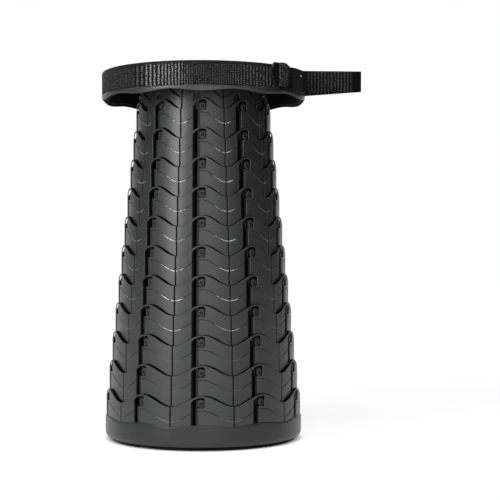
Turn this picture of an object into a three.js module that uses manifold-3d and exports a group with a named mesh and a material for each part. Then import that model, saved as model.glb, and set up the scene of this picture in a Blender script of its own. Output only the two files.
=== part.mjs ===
// Collapsible telescopic stool: nested rings under a round seat, with a belt round the rim and a carry loop.
// Millimetres, +Z up. The origin is on the stool's axis, at the flat underside of the base plate.
// Azimuths are measured from the front, which is -Y, and grow towards the right, which is +X.
import * as THREE from "three";
import { mergeVertices } from "three/addons/utils/BufferGeometryUtils.js";
import Module from "manifold-3d";

const wasm = await Module();
wasm.setup();

const degree = Math.PI / 180;

// Driving dimensions: the telescoping column
const stageCount = 12;
const travel = 34.8; // how far each ring rises out of the next larger one
const ringOverlap = 17.4; // length of a raised ring that stays inside its neighbour, under a crest
const baseRingR = 120;
const ringWall = 2.9;
const ringPlay = 0.77; // radial play between two rings
const waveCount = 10; // waves round the top edge of a ring
const waveDepth = 12.7; // from crest to valley
const crestAzimuth = -0.8 * degree;

// Driving dimensions: the latch that each wave holds, a hook-shaped slot and the lug of the ring inside
const latchAzimuth = -3.3 * degree; // the line between slot and lug
const slotWidth = 7.5;
const lugWidth = 7.3;
const lugHeight = 9.4;
const sillHeight = 3.3; // material left under a slot
const crestBand = 2.2; // material left over a notch, at the crest
const archCorner = 3; // how much the arch falls away from the ring's edge in its rounded corner
const archFlat = 7.3; // straight part of the notch's upper edge
const skinWall = 0.8; // outer skin in front of the lug's channel
const latchMargin = 0.6; // flat wall on each side of a latch

// Driving dimensions: the smallest ring, whose neck rises to the seat behind a wavy edge of its own
const shoulderHeight = 31.6; // crest of that edge, over the ring's foot
const neckInset = 1.2;

// Driving dimensions: the base
const collarProud = 1.1;
const collarRound = 8;
const baseFlange = 5.5; // height of the inward flange at the foot
const ledgeWidth = 9; // the ledge over the base plate
const ledgeThickness = 2.2;
const plateInset = 22; // from the outside of the base ring to the plate
const floorGap = 3.9; // free height under the rings when the stool is folded
const landingGap = 1; // between skirt and collar when the stool is folded
const footHeight = 2;
const footWidth = 8;
const footArc = 22 * degree;
const screwCount = 5;
const screwHeadR = 3.4;
const screwHeadHeight = 1.4;
const screwR = 1.6;
const screwSink = 0.3; // how far a head lies inside the plate

// Driving dimensions: the seat
const seatPlate = 2.8;
const seatHeadroom = 0.4;
const seatPlay = 1; // between the skirt and the base ring
const rimWall = 2.6;
const lipHeight = 3;
const lipRound = 2.6;
const flangeHeight = 5.5; // the skirt below the belt, at its mean edge
const skirtWave = 1.5;
const skirtRound = 1.2;
const spigotDepth = 18;
const spigotWall = 2.5;
const capR = 45;
const capFlange = 1.3;
const capLedge = 3.3;
const capSkirt = 3; // how far the cap's body reaches below its ledge
const wellR = 13.25;
const wellWall = 2;
const wellDepth = 35;
const wellSpacing = 54;

// Driving dimensions: belt, carry loop and slider
const webbingWidth = 25;
const webbingThickness = 1.6;
const overlayRise = 2.6; // how far slider and loop ride above the belt
const loopReach = 71.1; // from the belt's face to the end of the loop
const loopAzimuth = 90 * degree;
const loopRoot = 70 * degree; // where the front leg leaves the belt
const loopRear = 95 * degree; // where the rear leg comes back to it
const loopTab = 14 * degree; // sewn length before the front leg
const loopTail = 10 * degree; // sewn length behind the rear leg
const loopRise = 4.8; // from the root to the end
const loopRootFold = 3;
const loopEndFold = 3.5;
const sliderAzimuth = 46.2 * degree;
const sliderLength = 37;
const sliderRail = 1.9; // over and under the slots
const sliderThickness = 2.2;
const sliderEndBar = 5.3;
const sliderPullBar = 10.5; // the end bar that is wide enough to pull
const sliderMidBar = 5;
const sliderSlotClearance = 0.6;
const sliderCorner = 4;
const rivetR = 2;
const rivetHeight = 1;
const rivetDrop = 5; // below the belt's upper edge
const rivetInset = 3 * degree; // before the front leg

// Fits
const seatGap = 0.3; // between pieces that touch
const overrun = 2; // how far a cutter passes its wall

// Sizes that follow
const ringStep = ringWall + ringPlay;
const plateR = baseRingR - plateInset;
const crestHeight = travel + ringOverlap;
const topRingHeight = crestHeight + seatHeadroom;
const waveAngle = (2 * Math.PI) / waveCount;
const baseRingFoot = baseFlange + floorGap;
const columnRise = (stageCount - 1) * travel;
const seatUnderside = baseRingFoot + columnRise + topRingHeight + seatGap;
const seatTop = seatUnderside + seatPlate;
const seatInnerR = baseRingR + seatPlay;
const grooveR = seatInnerR + rimWall;
const beltInnerR = grooveR + seatGap;
const beltOuterR = beltInnerR + webbingThickness;
const grooveHeight = webbingWidth + 2 * seatGap;
const beltTop = seatTop - lipHeight - seatGap;
const beltBottom = beltTop - webbingWidth;
const skirtEdge = seatTop - lipHeight - grooveHeight - flangeHeight;
const collarR = baseRingR + collarProud;
const collarTop = skirtEdge - skirtWave - columnRise - landingGap - skirtWave;
const lugFoot = sillHeight + seatGap; // above the foot of the ring that carries the lug
const notchFloor = travel + lugFoot - seatGap;
const notchWidth = lugWidth + 2 * seatGap;
const latchHalfWidth = Math.max(slotWidth, notchWidth) + latchMargin;
const plateThickness = baseFlange - ledgeThickness - seatGap;
const sliderHeight = webbingWidth + 2 * (sliderSlotClearance + sliderRail);

// Colours from dark grey moulded plastic, webbing and rubber
const finishes = {
  shell: { color: 0x6d6f70, roughness: 0.55, metalness: 0 },
  ring: { color: 0x66696a, roughness: 0.5, metalness: 0 },
  cap: { color: 0x717374, roughness: 0.45, metalness: 0 },
  webbing: { color: 0x2c2d2f, roughness: 0.9, metalness: 0 },
  buckle: { color: 0x26282a, roughness: 0.4, metalness: 0 },
  rubber: { color: 0x141516, roughness: 0.85, metalness: 0 },
  steel: { color: 0xb8bbbd, roughness: 0.3, metalness: 1 },
};

const stool = new THREE.Group();

// A closed three.js geometry as a solid that can be cut and joined
function solidOf(geometry) {
  const bare = geometry.clone();
  bare.deleteAttribute("normal");
  bare.deleteAttribute("uv");
  const merged = mergeVertices(bare, 1e-5);
  return new wasm.Manifold(
    new wasm.Mesh({
      numProp: 3,
      vertProperties: new Float32Array(merged.attributes.position.array),
      triVerts: new Uint32Array(merged.index.array),
    }),
  );
}

function geometryOf(solid) {
  const mesh = solid.getMesh();
  const geometry = new THREE.BufferGeometry();
  geometry.setAttribute("position", new THREE.BufferAttribute(new Float32Array(mesh.vertProperties), 3));
  geometry.setIndex(new THREE.BufferAttribute(new Uint32Array(mesh.triVerts), 1));
  return geometry;
}

function addPart(name, geometry, finish) {
  const loose = geometry.index ? geometry.toNonIndexed() : geometry;
  loose.computeVertexNormals();
  const mesh = new THREE.Mesh(loose, new THREE.MeshStandardMaterial(finishes[finish]));
  mesh.name = name;
  stool.add(mesh);
  return mesh;
}

// Directions at an azimuth: outwards, and to the right as seen from outside
function outward(azimuth) {
  return new THREE.Vector3(Math.sin(azimuth), -Math.cos(azimuth), 0);
}

function sideways(azimuth) {
  return new THREE.Vector3(Math.cos(azimuth), Math.sin(azimuth), 0);
}

// A frame on the column's side: x to the right, y up, z outwards from the axis
function sideFrame(azimuth) {
  const up = new THREE.Vector3(0, 0, 1);
  return new THREE.Matrix4().makeBasis(sideways(azimuth), up, outward(azimuth));
}

// An outline drawn in a side frame and extruded outwards between two distances from the axis
function sideExtrusion(shape, azimuth, near, far, curveSegments = 1) {
  const geometry = new THREE.ExtrudeGeometry(shape, {
    depth: far - near,
    bevelEnabled: false,
    curveSegments,
  });
  geometry.translate(0, 0, near);
  return geometry.applyMatrix4(sideFrame(azimuth));
}

function rectangle(left, bottom, right, top) {
  const shape = new THREE.Shape();
  shape.moveTo(left, bottom);
  shape.lineTo(right, bottom);
  shape.lineTo(right, top);
  shape.lineTo(left, top);
  shape.closePath();
  return shape;
}

// A closed profile of [radius, height] points carried round the axis through a list of stations.
// A height may be a function of the azimuth, which gives a wavy edge.
function revolve(profile, stations) {
  const positions = [];
  const index = [];
  for (const { azimuth, scale } of stations) {
    for (const [radius, height] of profile) {
      const point = outward(azimuth).multiplyScalar(radius * scale);
      positions.push(point.x, point.y, typeof height === "function" ? height(azimuth) : height);
    }
  }
  const rows = profile.length;
  for (let s = 0; s < stations.length; s += 1) {
    const here = s * rows;
    const next = ((s + 1) % stations.length) * rows;
    for (let p = 0; p < rows; p += 1) {
      const q = (p + 1) % rows;
      index.push(here + p, next + p, next + q, here + p, next + q, here + q);
    }
  }
  const geometry = new THREE.BufferGeometry();
  geometry.setAttribute("position", new THREE.Float32BufferAttribute(positions, 3));
  geometry.setIndex(index);
  return geometry;
}

function evenStations(count, first = 0) {
  return Array.from({ length: count }, (_, i) => ({
    azimuth: first + (i * 2 * Math.PI) / count,
    scale: 1,
  }));
}

function wave(azimuth, depth) {
  return (depth * (Math.cos(waveCount * (azimuth - crestAzimuth)) - 1)) / 2;
}

function ripple(azimuth) {
  return skirtWave * Math.cos(waveCount * (azimuth - crestAzimuth));
}

// The rings

function ringR(number) {
  return baseRingR - (number - 1) * ringStep;
}

function ringFoot(number) {
  return baseRingFoot + (number - 1) * travel;
}

// Half the azimuth that the flat facet round a latch takes
function latchHalfAngle(number) {
  return Math.asin(latchHalfWidth / (ringR(number) - ringWall));
}

// Distance of a latch's flat facet from the axis
function facetDistance(number) {
  return ringR(number) * Math.cos(latchHalfAngle(number));
}

function latchAzimuths() {
  return Array.from({ length: waveCount }, (_, i) => latchAzimuth + i * waveAngle);
}

// Stations round a ring: each wave has a flat facet at its latch, with the crest and a point of the rising
// edge on it, then two facets down to the valley and one up to the next latch
function ringStations(number) {
  const half = latchHalfAngle(number);
  const riseShare = 0.5;
  const fallShare = 0.5;
  const stations = [];
  latchAzimuths().forEach((centre, i) => {
    const crest = crestAzimuth + i * waveAngle;
    const valley = crest + waveAngle / 2;
    const left = centre - half;
    const right = centre + half;
    stations.push({ azimuth: left, scale: 1 });
    for (const azimuth of [left + riseShare * (crest - left), crest]) {
      stations.push({ azimuth, scale: Math.cos(half) / Math.cos(azimuth - centre) });
    }
    stations.push({ azimuth: right, scale: 1 });
    stations.push({ azimuth: right + fallShare * (valley - right), scale: 1 });
    stations.push({ azimuth: valley, scale: 1 });
  });
  return stations;
}

function ringWallSolid(number, foot, top) {
  const outerR = ringR(number);
  const innerR = outerR - ringWall;
  const profile = [
    [outerR, foot],
    [outerR, top],
    [innerR, top],
    [innerR, foot],
  ];
  return solidOf(revolve(profile, ringStations(number)));
}

// The hook-shaped opening: a slot that runs down to the sill, and a notch to its right under an arch.
// The arch follows the ring's edge and falls away from it in a rounded corner.
function latchOutline(number, foot) {
  const archRight = notchWidth - archFlat;
  const edgeAt = (along) => {
    const azimuth = latchAzimuth + Math.asin(along / ringR(number));
    return foot + crestHeight + wave(azimuth, waveDepth);
  };
  const shape = new THREE.Shape();
  shape.moveTo(-slotWidth, foot + sillHeight);
  shape.lineTo(0, foot + sillHeight);
  shape.lineTo(0, foot + notchFloor);
  shape.lineTo(notchWidth, foot + notchFloor);
  shape.lineTo(notchWidth, edgeAt(notchWidth) - crestBand);
  const cornerSteps = 2;
  for (let i = 0; i <= cornerSteps; i += 1) {
    const turn = (i / cornerSteps) * (Math.PI / 2);
    const along = archRight - (archRight + slotWidth) * Math.sin(turn);
    shape.lineTo(along, edgeAt(along) - crestBand - archCorner * (1 - Math.cos(turn)));
  }
  shape.closePath();
  return shape;
}

// Below the notch a channel runs down behind the skin, so that the lug can pass
function channelOutline(foot) {
  return rectangle(-slotWidth / 2, foot + sillHeight, notchWidth + seatGap, foot + notchFloor);
}

function cutLatches(wall, number, foot, reach = overrun) {
  const outer = facetDistance(number);
  const inside = outer - ringWall - overrun;
  const opening = latchOutline(number, foot);
  const channel = channelOutline(foot);
  let cut = wall;
  for (const azimuth of latchAzimuths()) {
    cut = cut.subtract(solidOf(sideExtrusion(opening, azimuth, inside, outer + reach)));
    cut = cut.subtract(solidOf(sideExtrusion(channel, azimuth, inside, outer - skinWall)));
  }
  return cut;
}

function addLugs(wall, number, foot) {
  const root = facetDistance(number) - skinWall / 2;
  const tip = facetDistance(number - 1) - skinWall - seatGap;
  const outline = rectangle(seatGap, foot + lugFoot, seatGap + lugWidth, foot + lugFoot + lugHeight);
  let joined = wall;
  for (const azimuth of latchAzimuths()) {
    joined = joined.add(solidOf(sideExtrusion(outline, azimuth, root, tip)));
  }
  return joined;
}

// A middle ring has the latch openings in its upper part and its own lugs near its foot
function middleRing(number) {
  const foot = ringFoot(number);
  const top = (azimuth) => foot + crestHeight + wave(azimuth, waveDepth);
  const wall = ringWallSolid(number, foot, top);
  return addLugs(cutLatches(wall, number, foot), number, foot);
}

// The smallest ring carries the seat: it has a level top, lugs, and plain slots that end under its wavy edge
function topRing() {
  const number = stageCount;
  const foot = ringFoot(number);
  const top = foot + topRingHeight;
  const outer = facetDistance(number);
  const outerR = ringR(number);
  const innerR = outerR - ringWall;
  const neckR = outerR - neckInset;
  const shoulder = (azimuth) => foot + shoulderHeight + wave(azimuth, waveDepth);
  const profile = [
    [outerR, foot],
    [outerR, shoulder],
    [neckR, shoulder],
    [neckR, top],
    [innerR, top],
    [innerR, foot],
  ];
  const slotLeft = latchAzimuth - Math.asin(slotWidth / outerR);
  const slot = rectangle(-slotWidth, foot + sillHeight, 0, shoulder(slotLeft) - crestBand);
  let wall = solidOf(revolve(profile, ringStations(number)));
  for (const azimuth of latchAzimuths()) {
    wall = wall.subtract(solidOf(sideExtrusion(slot, azimuth, outer - ringWall - overrun, outer + overrun)));
  }
  return addLugs(wall, number, foot);
}

// The largest ring is one moulding with the collar, the rounded foot and the inward flange.
// The collar covers the lower end of its latches.
function baseRing() {
  const number = 1;
  const outerR = ringR(number);
  const top = (azimuth) => baseRingFoot + crestHeight + wave(azimuth, waveDepth);
  const collarEdge = (azimuth) => collarTop + ripple(azimuth);
  const openingR = plateR + seatGap;
  const roundSteps = 3;
  const profile = [[openingR, 0]];
  for (let i = 0; i <= roundSteps; i += 1) {
    const turn = (i / roundSteps) * (Math.PI / 2);
    profile.push([
      collarR - collarRound + collarRound * Math.sin(turn),
      collarRound - collarRound * Math.cos(turn),
    ]);
  }
  profile.push([collarR, collarEdge]);
  profile.push([outerR, collarEdge]);
  profile.push([outerR, top]);
  profile.push([outerR - ringWall, top]);
  profile.push([outerR - ringWall, baseFlange]);
  profile.push([openingR - ledgeWidth, baseFlange]);
  profile.push([openingR - ledgeWidth, baseFlange - ledgeThickness]);
  profile.push([openingR, baseFlange - ledgeThickness]);
  const body = solidOf(revolve(profile, ringStations(number)));
  let ring = cutLatches(body, number, baseRingFoot, collarProud / 2);
  for (const azimuth of screwAzimuths()) {
    ring = ring.subtract(screwHole(azimuth, baseFlange - ledgeThickness - overrun, baseFlange + overrun));
  }
  return ring;
}

// The base plate and what is fixed to it

function screwAzimuths() {
  return Array.from({ length: screwCount }, (_, i) => (i * 2 * Math.PI) / screwCount);
}

// The screws stand on a circle in the middle of the ledge
function screwCircleR() {
  return plateR - ledgeWidth / 2;
}

// A lathe profile of [radius, height] points, turned about a vertical line at a place on the plan
function post(profile, segments, azimuth = 0, radius = 0) {
  const points = profile.map(([r, z]) => new THREE.Vector2(r, z));
  const geometry = new THREE.LatheGeometry(points, segments);
  geometry.rotateX(Math.PI / 2);
  const place = outward(azimuth).multiplyScalar(radius);
  return geometry.translate(place.x, place.y, 0);
}

function cylinder(radius, low, high, segments, azimuth, circleR) {
  const profile = [
    [0, low],
    [radius, low],
    [radius, high],
    [0, high],
  ];
  return solidOf(post(profile, segments, azimuth, circleR));
}

const screwSides = 6;

function screwHole(azimuth, low, high) {
  return cylinder(screwR + seatGap, low, high, screwSides, azimuth, screwCircleR());
}

// The plate has the same facets as the ring that holds it
function basePlate() {
  const rim = ringStations(1).map(({ azimuth, scale }) => {
    const point = outward(azimuth).multiplyScalar(plateR * scale);
    return new THREE.Vector2(point.x, point.y);
  });
  const options = { depth: plateThickness, bevelEnabled: false };
  let plate = solidOf(new THREE.ExtrudeGeometry(new THREE.Shape(rim), options));
  for (const azimuth of screwAzimuths()) {
    const sinkTop = screwSink + screwHeadHeight + seatGap;
    plate = plate.subtract(screwHole(azimuth, -overrun, plateThickness + overrun));
    plate = plate.subtract(
      cylinder(screwHeadR + seatGap, -overrun, sinkTop, screwSides, azimuth, screwCircleR()),
    );
  }
  return plate;
}

function baseScrew(azimuth) {
  const profile = [
    [0, screwSink],
    [screwHeadR, screwSink],
    [screwHeadR, screwSink + screwHeadHeight],
    [screwR, screwSink + screwHeadHeight],
    [screwR, baseFlange],
    [0, baseFlange],
  ];
  return post(profile, screwSides, azimuth, screwCircleR());
}

// An arc of rubber under the flange, below a valley of the rings
function footPad(azimuth) {
  const outer = collarR - collarRound;
  const inner = outer - footWidth;
  const from = azimuth - footArc / 2 - Math.PI / 2;
  const to = azimuth + footArc / 2 - Math.PI / 2;
  const shape = new THREE.Shape();
  shape.absarc(0, 0, outer, from, to, false);
  shape.absarc(0, 0, inner, to, from, true);
  shape.closePath();
  const options = { depth: footHeight, bevelEnabled: false, curveSegments: 2 };
  const geometry = new THREE.ExtrudeGeometry(shape, options);
  return geometry.translate(0, 0, -footHeight - seatGap);
}

// The seat

const seatSides = 40;

function seatShell() {
  const edge = (azimuth) => skirtEdge - ripple(azimuth);
  const roundedEdge = (azimuth) => edge(azimuth) + skirtRound;
  const ledgeR = capR + seatGap - capLedge;
  const ledgeTop = seatTop - capFlange - seatGap;
  const spigotR = facetDistance(stageCount) - ringWall - seatGap;
  const spigotEnd = seatUnderside - spigotDepth;
  const lipBottom = seatTop - lipHeight;
  const profile = [
    [ledgeR, seatUnderside],
    [spigotR - spigotWall, seatUnderside],
    [spigotR - spigotWall, spigotEnd],
    [spigotR, spigotEnd],
    [spigotR, seatUnderside],
    [seatInnerR, seatUnderside],
    [seatInnerR, edge],
    [beltOuterR - skirtRound, edge],
    [beltOuterR, roundedEdge],
    [beltOuterR, lipBottom - grooveHeight],
    [grooveR, lipBottom - grooveHeight],
    [grooveR, lipBottom],
    [beltOuterR, lipBottom],
    [beltOuterR - lipRound * (1 - Math.SQRT1_2), seatTop - lipRound * (1 - Math.SQRT1_2)],
    [beltOuterR - lipRound, seatTop],
    [capR + seatGap, seatTop],
    [capR + seatGap, ledgeTop],
    [ledgeR, ledgeTop],
  ];
  return revolve(profile, evenStations(seatSides, crestAzimuth));
}

const capSides = 28;
const wellSides = 16;

function wellPlaces() {
  return [-1, 1].map((side) => ({ azimuth: (side * Math.PI) / 2, radius: wellSpacing / 2 }));
}

// The finger cap: a disc that lies flush in the seat, with two blind wells for the fingers
function fingerCap() {
  const bodyR = capR - capLedge;
  const flangeFoot = seatTop - capFlange;
  const bodyFoot = seatUnderside - capSkirt;
  const profile = [
    [0, bodyFoot],
    [bodyR, bodyFoot],
    [bodyR, flangeFoot],
    [capR, flangeFoot],
    [capR, seatTop],
    [0, seatTop],
  ];
  const floor = seatTop - wellDepth;
  let cap = solidOf(post(profile, capSides));
  for (const { azimuth, radius } of wellPlaces()) {
    const wellTop = bodyFoot + overrun / 2;
    cap = cap.add(cylinder(wellR + wellWall, floor - wellWall, wellTop, wellSides, azimuth, radius));
  }
  for (const { azimuth, radius } of wellPlaces()) {
    cap = cap.subtract(cylinder(wellR, floor, seatTop + overrun, wellSides, azimuth, radius));
  }
  return cap;
}

// The belt, its carry loop and the slider

function beltRing() {
  const profile = [
    [beltInnerR, beltBottom],
    [beltOuterR, beltBottom],
    [beltOuterR, beltTop],
    [beltInnerR, beltTop],
  ];
  return revolve(profile, evenStations(seatSides, crestAzimuth));
}

// The way of a band round circles, each [centre, radius], with the radius negative where it turns clockwise.
// It starts and ends at given azimuths on the first and last circle.
function bandPath(circles, firstAzimuth, lastAzimuth, step) {
  const touches = [];
  for (let i = 0; i + 1 < circles.length; i += 1) {
    const [here, hereR] = circles[i];
    const [next, nextR] = circles[i + 1];
    const line = next.clone().sub(here);
    const along = (hereR - nextR) / line.length();
    const across = Math.sqrt(Math.max(0, 1 - along * along));
    const unit = line.clone().normalize();
    const normal = new THREE.Vector2(
      along * unit.x + across * unit.y,
      along * unit.y - across * unit.x,
    );
    touches.push([
      here.clone().addScaledVector(normal, hereR),
      next.clone().addScaledVector(normal, nextR),
    ]);
  }
  const turnOf = (centre, point) => Math.atan2(point.y - centre.y, point.x - centre.x);
  const points = [];
  circles.forEach(([centre, radius], i) => {
    const size = Math.abs(radius);
    const start = i === 0 ? firstAzimuth - Math.PI / 2 : turnOf(centre, touches[i - 1][1]);
    let end = i === circles.length - 1 ? lastAzimuth - Math.PI / 2 : turnOf(centre, touches[i][0]);
    while (radius > 0 && end < start) end += 2 * Math.PI;
    while (radius < 0 && end > start) end -= 2 * Math.PI;
    const count = Math.max(1, Math.round(Math.abs(end - start) / step(size)));
    for (let j = 0; j <= count; j += 1) {
      const turn = start + ((end - start) * j) / count;
      points.push(new THREE.Vector2(centre.x + size * Math.cos(turn), centre.y + size * Math.sin(turn)));
    }
  });
  return points;
}

// A band of a given thickness along a path on the plan, standing on edge
function standingBand(path, thickness, low, high) {
  const sides = [1, -1].map((side) =>
    path.map((point, i) => {
      const before = path[Math.max(0, i - 1)];
      const after = path[Math.min(path.length - 1, i + 1)];
      const way = after.clone().sub(before).normalize();
      return new THREE.Vector2(
        point.x + (side * way.y * thickness) / 2,
        point.y - (side * way.x * thickness) / 2,
      );
    }),
  );
  const shape = new THREE.Shape([...sides[0], ...sides[1].reverse()]);
  const geometry = new THREE.ExtrudeGeometry(shape, { depth: high - low, bevelEnabled: false });
  return geometry.translate(0, 0, low);
}

function carryLoop() {
  const rideR = beltOuterR + seatGap + webbingThickness / 2;
  const axis = new THREE.Vector2(0, 0);
  const flat = (azimuth, radius) =>
    new THREE.Vector2(radius * Math.sin(azimuth), -radius * Math.cos(azimuth));
  const rootFold = flat(loopRoot, rideR + loopRootFold);
  const rearFold = flat(loopRear, rideR + loopRootFold);
  const endFold = flat(loopAzimuth, beltOuterR + loopReach - webbingThickness / 2 - loopEndFold);
  const circles = [
    [axis, rideR],
    [rootFold, -loopRootFold],
    [endFold, loopEndFold],
    [rearFold, -loopRootFold],
    [axis, rideR],
  ];
  const step = (radius) => (radius > loopRootFold + loopEndFold ? 6 * degree : 35 * degree);
  const path = bandPath(circles, loopRoot - loopTab, loopRear + loopTail, step);
  const band = standingBand(path, webbingThickness, beltBottom, beltTop);
  const way = flat(loopAzimuth, 1);
  const rootReach = rootFold.dot(way);
  const places = band.getAttribute("position");
  for (let i = 0; i < places.count; i += 1) {
    const reach = places.getX(i) * way.x + places.getY(i) * way.y;
    const share = Math.max(0, (reach - rootReach) / (endFold.dot(way) - rootReach));
    places.setZ(i, places.getZ(i) + overlayRise + loopRise * share);
  }
  return band;
}

// The slider: a frame with two upright slots beside a middle bar, and a wider bar at the end to pull
function slider() {
  const middle = (beltTop + beltBottom) / 2 + overlayRise;
  const halfLength = sliderLength / 2;
  const halfHeight = sliderHeight / 2;
  const shape = new THREE.Shape();
  const inner = halfLength - sliderCorner;
  const rise = halfHeight - sliderCorner;
  shape.absarc(inner, middle - rise, sliderCorner, -Math.PI / 2, 0, false);
  shape.absarc(inner, middle + rise, sliderCorner, 0, Math.PI / 2, false);
  shape.absarc(-inner, middle + rise, sliderCorner, Math.PI / 2, Math.PI, false);
  shape.absarc(-inner, middle - rise, sliderCorner, Math.PI, (3 * Math.PI) / 2, false);
  const slotRise = webbingWidth / 2 + sliderSlotClearance;
  const near = beltOuterR + seatGap;
  const far = near + sliderThickness;
  let frame = solidOf(sideExtrusion(shape, sliderAzimuth, near, far, 2));
  const left = sliderPullBar - halfLength;
  const right = halfLength - sliderEndBar;
  const slotLength = (right - left - sliderMidBar) / 2;
  for (const start of [left, right - slotLength]) {
    const slot = rectangle(start, middle - slotRise, start + slotLength, middle + slotRise);
    frame = frame.subtract(solidOf(sideExtrusion(slot, sliderAzimuth, near - overrun, far + overrun)));
  }
  return frame;
}

function rivet() {
  const rideR = beltOuterR + seatGap + webbingThickness + seatGap;
  const geometry = post(
    [
      [0, 0],
      [rivetR, 0],
      [rivetR * Math.SQRT1_2, rivetHeight],
      [0, rivetHeight],
    ],
    10,
  );
  const place = new THREE.Matrix4().makeTranslation(0, beltTop - rivetDrop, rideR);
  return geometry.applyMatrix4(place).applyMatrix4(sideFrame(loopRoot - rivetInset));
}

addPart("base_ring", geometryOf(baseRing()), "ring");
addPart("base_plate", geometryOf(basePlate()), "shell");
screwAzimuths().forEach((azimuth, i) => {
  addPart(`base_screw_${i + 1}`, baseScrew(azimuth), "steel");
});
for (let i = 0; i < waveCount; i += 1) {
  const valley = crestAzimuth + (i + 1 / 2) * waveAngle;
  addPart(`foot_pad_${String(i + 1).padStart(2, "0")}`, footPad(valley), "rubber");
}
for (let number = 2; number < stageCount; number += 1) {
  addPart(`ring_${String(number).padStart(2, "0")}`, geometryOf(middleRing(number)), "ring");
}
addPart(`ring_${stageCount}`, geometryOf(topRing()), "ring");
addPart("seat_top", seatShell(), "shell");
addPart("finger_cap", geometryOf(fingerCap()), "cap");
addPart("strap", beltRing(), "webbing");
addPart("carry_loop", carryLoop(), "webbing");
addPart("slider_buckle", geometryOf(slider()), "buckle");
addPart("loop_rivet", rivet(), "steel");

export default stool;
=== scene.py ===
import math

import bmesh
import bpy
from mathutils import Matrix, Vector, noise
from mathutils.geometry import delaunay_2d_cdt, intersect_point_line


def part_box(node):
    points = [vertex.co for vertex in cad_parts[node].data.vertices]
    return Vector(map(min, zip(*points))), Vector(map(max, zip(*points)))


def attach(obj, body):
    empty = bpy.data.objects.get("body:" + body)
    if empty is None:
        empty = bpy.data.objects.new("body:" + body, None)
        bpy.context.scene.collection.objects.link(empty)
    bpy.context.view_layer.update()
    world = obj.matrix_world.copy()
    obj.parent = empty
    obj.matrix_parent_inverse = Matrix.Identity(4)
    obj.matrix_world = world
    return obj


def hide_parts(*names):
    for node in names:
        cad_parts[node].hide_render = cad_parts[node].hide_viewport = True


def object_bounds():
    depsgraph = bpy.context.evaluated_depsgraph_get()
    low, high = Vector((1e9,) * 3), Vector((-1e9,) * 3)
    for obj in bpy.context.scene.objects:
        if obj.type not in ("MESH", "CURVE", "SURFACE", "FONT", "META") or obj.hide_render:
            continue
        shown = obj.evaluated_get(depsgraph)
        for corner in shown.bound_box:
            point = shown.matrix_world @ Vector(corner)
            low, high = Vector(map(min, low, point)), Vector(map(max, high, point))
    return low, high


# Sizes are millimetres and degrees, but the studio's are metres.
# Azimuths start at the front, -Y, and grow to the right, +X.
mm = 0.001
degree = math.pi / 180
fit = 0.3                    # gap between two pieces that fit into each other

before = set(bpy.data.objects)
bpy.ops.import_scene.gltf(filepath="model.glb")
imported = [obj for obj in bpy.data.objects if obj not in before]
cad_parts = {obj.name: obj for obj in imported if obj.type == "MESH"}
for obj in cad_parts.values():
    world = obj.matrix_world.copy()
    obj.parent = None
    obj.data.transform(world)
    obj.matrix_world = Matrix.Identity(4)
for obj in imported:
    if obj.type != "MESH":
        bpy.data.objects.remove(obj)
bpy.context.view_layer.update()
print("frame loaded")


def span(node):
    low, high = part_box(node)
    return low / mm, high / mm


# The camera

view = {
    "away": 1587.9,      # in front of the stool's axis
    "height": 232.5,
    "down": 0.101,
    "right": 2.084,
    "focalPixels": 1276.2,
    "framePixels": 500,
    "sensor": 36.0,
    "clip": (0.05, 50),      # in metres
}


def addCamera():
    data = bpy.data.cameras.new("camera")
    data.sensor_width = view["sensor"]
    data.lens = view["focalPixels"] / view["framePixels"] * data.sensor_width
    data.clip_start, data.clip_end = view["clip"]
    camera = bpy.data.objects.new("camera", data)
    bpy.context.scene.collection.objects.link(camera)
    camera.location = Vector((0, -view["away"], view["height"])) * mm
    camera.rotation_euler = ((90 - view["down"]) * degree, 0, -view["right"] * degree)
    bpy.context.scene.camera = camera


addCamera()


# Node trees: small helpers

def newTree(name, kind, inputs, outputs):
    tree = bpy.data.node_groups.new(name, kind)
    for socketName, socketKind, value in inputs:
        socket = tree.interface.new_socket(socketName, in_out="INPUT", socket_type=socketKind)
        if value is not None:
            socket.default_value = value
    for socketName, socketKind in outputs:
        tree.interface.new_socket(socketName, in_out="OUTPUT", socket_type=socketKind)
    start = tree.nodes.new("NodeGroupInput")
    end = tree.nodes.new("NodeGroupOutput")
    return tree, start, end


def addNode(tree, kind, links=None, **settings):
    node = tree.nodes.new(kind)
    for key, value in settings.items():
        setattr(node, key, value)
    for key, value in (links or {}).items():
        socket = node.inputs[key]
        if isinstance(value, bpy.types.NodeSocket):
            tree.links.new(value, socket)
        else:
            socket.default_value = value
    return node


def math2(tree, operation, first, second=0.0, third=0.0, clamp=False):
    node = addNode(tree, "ShaderNodeMath", {0: first, 1: second, 2: third}, operation=operation)
    node.use_clamp = clamp
    return node.outputs[0]


def rampValue(tree, value, low, high, fromLow=0.0, fromHigh=1.0):
    node = addNode(tree, "ShaderNodeMapRange", {
        "Value": value, "From Min": fromLow, "From Max": fromHigh, "To Min": low, "To Max": high})
    return node.outputs[0]


# A colour between two others, which are links or plain colours
def mixColors(tree, factor, first, second):
    colors = [
        color if isinstance(color, bpy.types.NodeSocket) else (*color, 1)
        for color in (first, second)]
    node = addNode(tree, "ShaderNodeMix", {
        "Factor": factor, 6: colors[0], 7: colors[1]}, data_type="RGBA", blend_type="MIX")
    return node.outputs[2]


def useTree(obj, tree, **values):
    modifier = obj.modifiers.new(tree.name, "NODES")
    modifier.node_group = tree
    for item in tree.interface.items_tree:
        if item.item_type == "SOCKET" and item.in_out == "INPUT" and item.name in values:
            modifier[item.identifier] = values[item.name]
    return modifier


def makePlain(obj):
    graph = bpy.context.evaluated_depsgraph_get()
    made = bpy.data.meshes.new_from_object(
        obj.evaluated_get(graph), preserve_all_data_layers=True, depsgraph=graph)
    obj.modifiers.clear()
    old = obj.data
    obj.data = made
    made.name = obj.name
    bpy.data.meshes.remove(old)
    return obj


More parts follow.
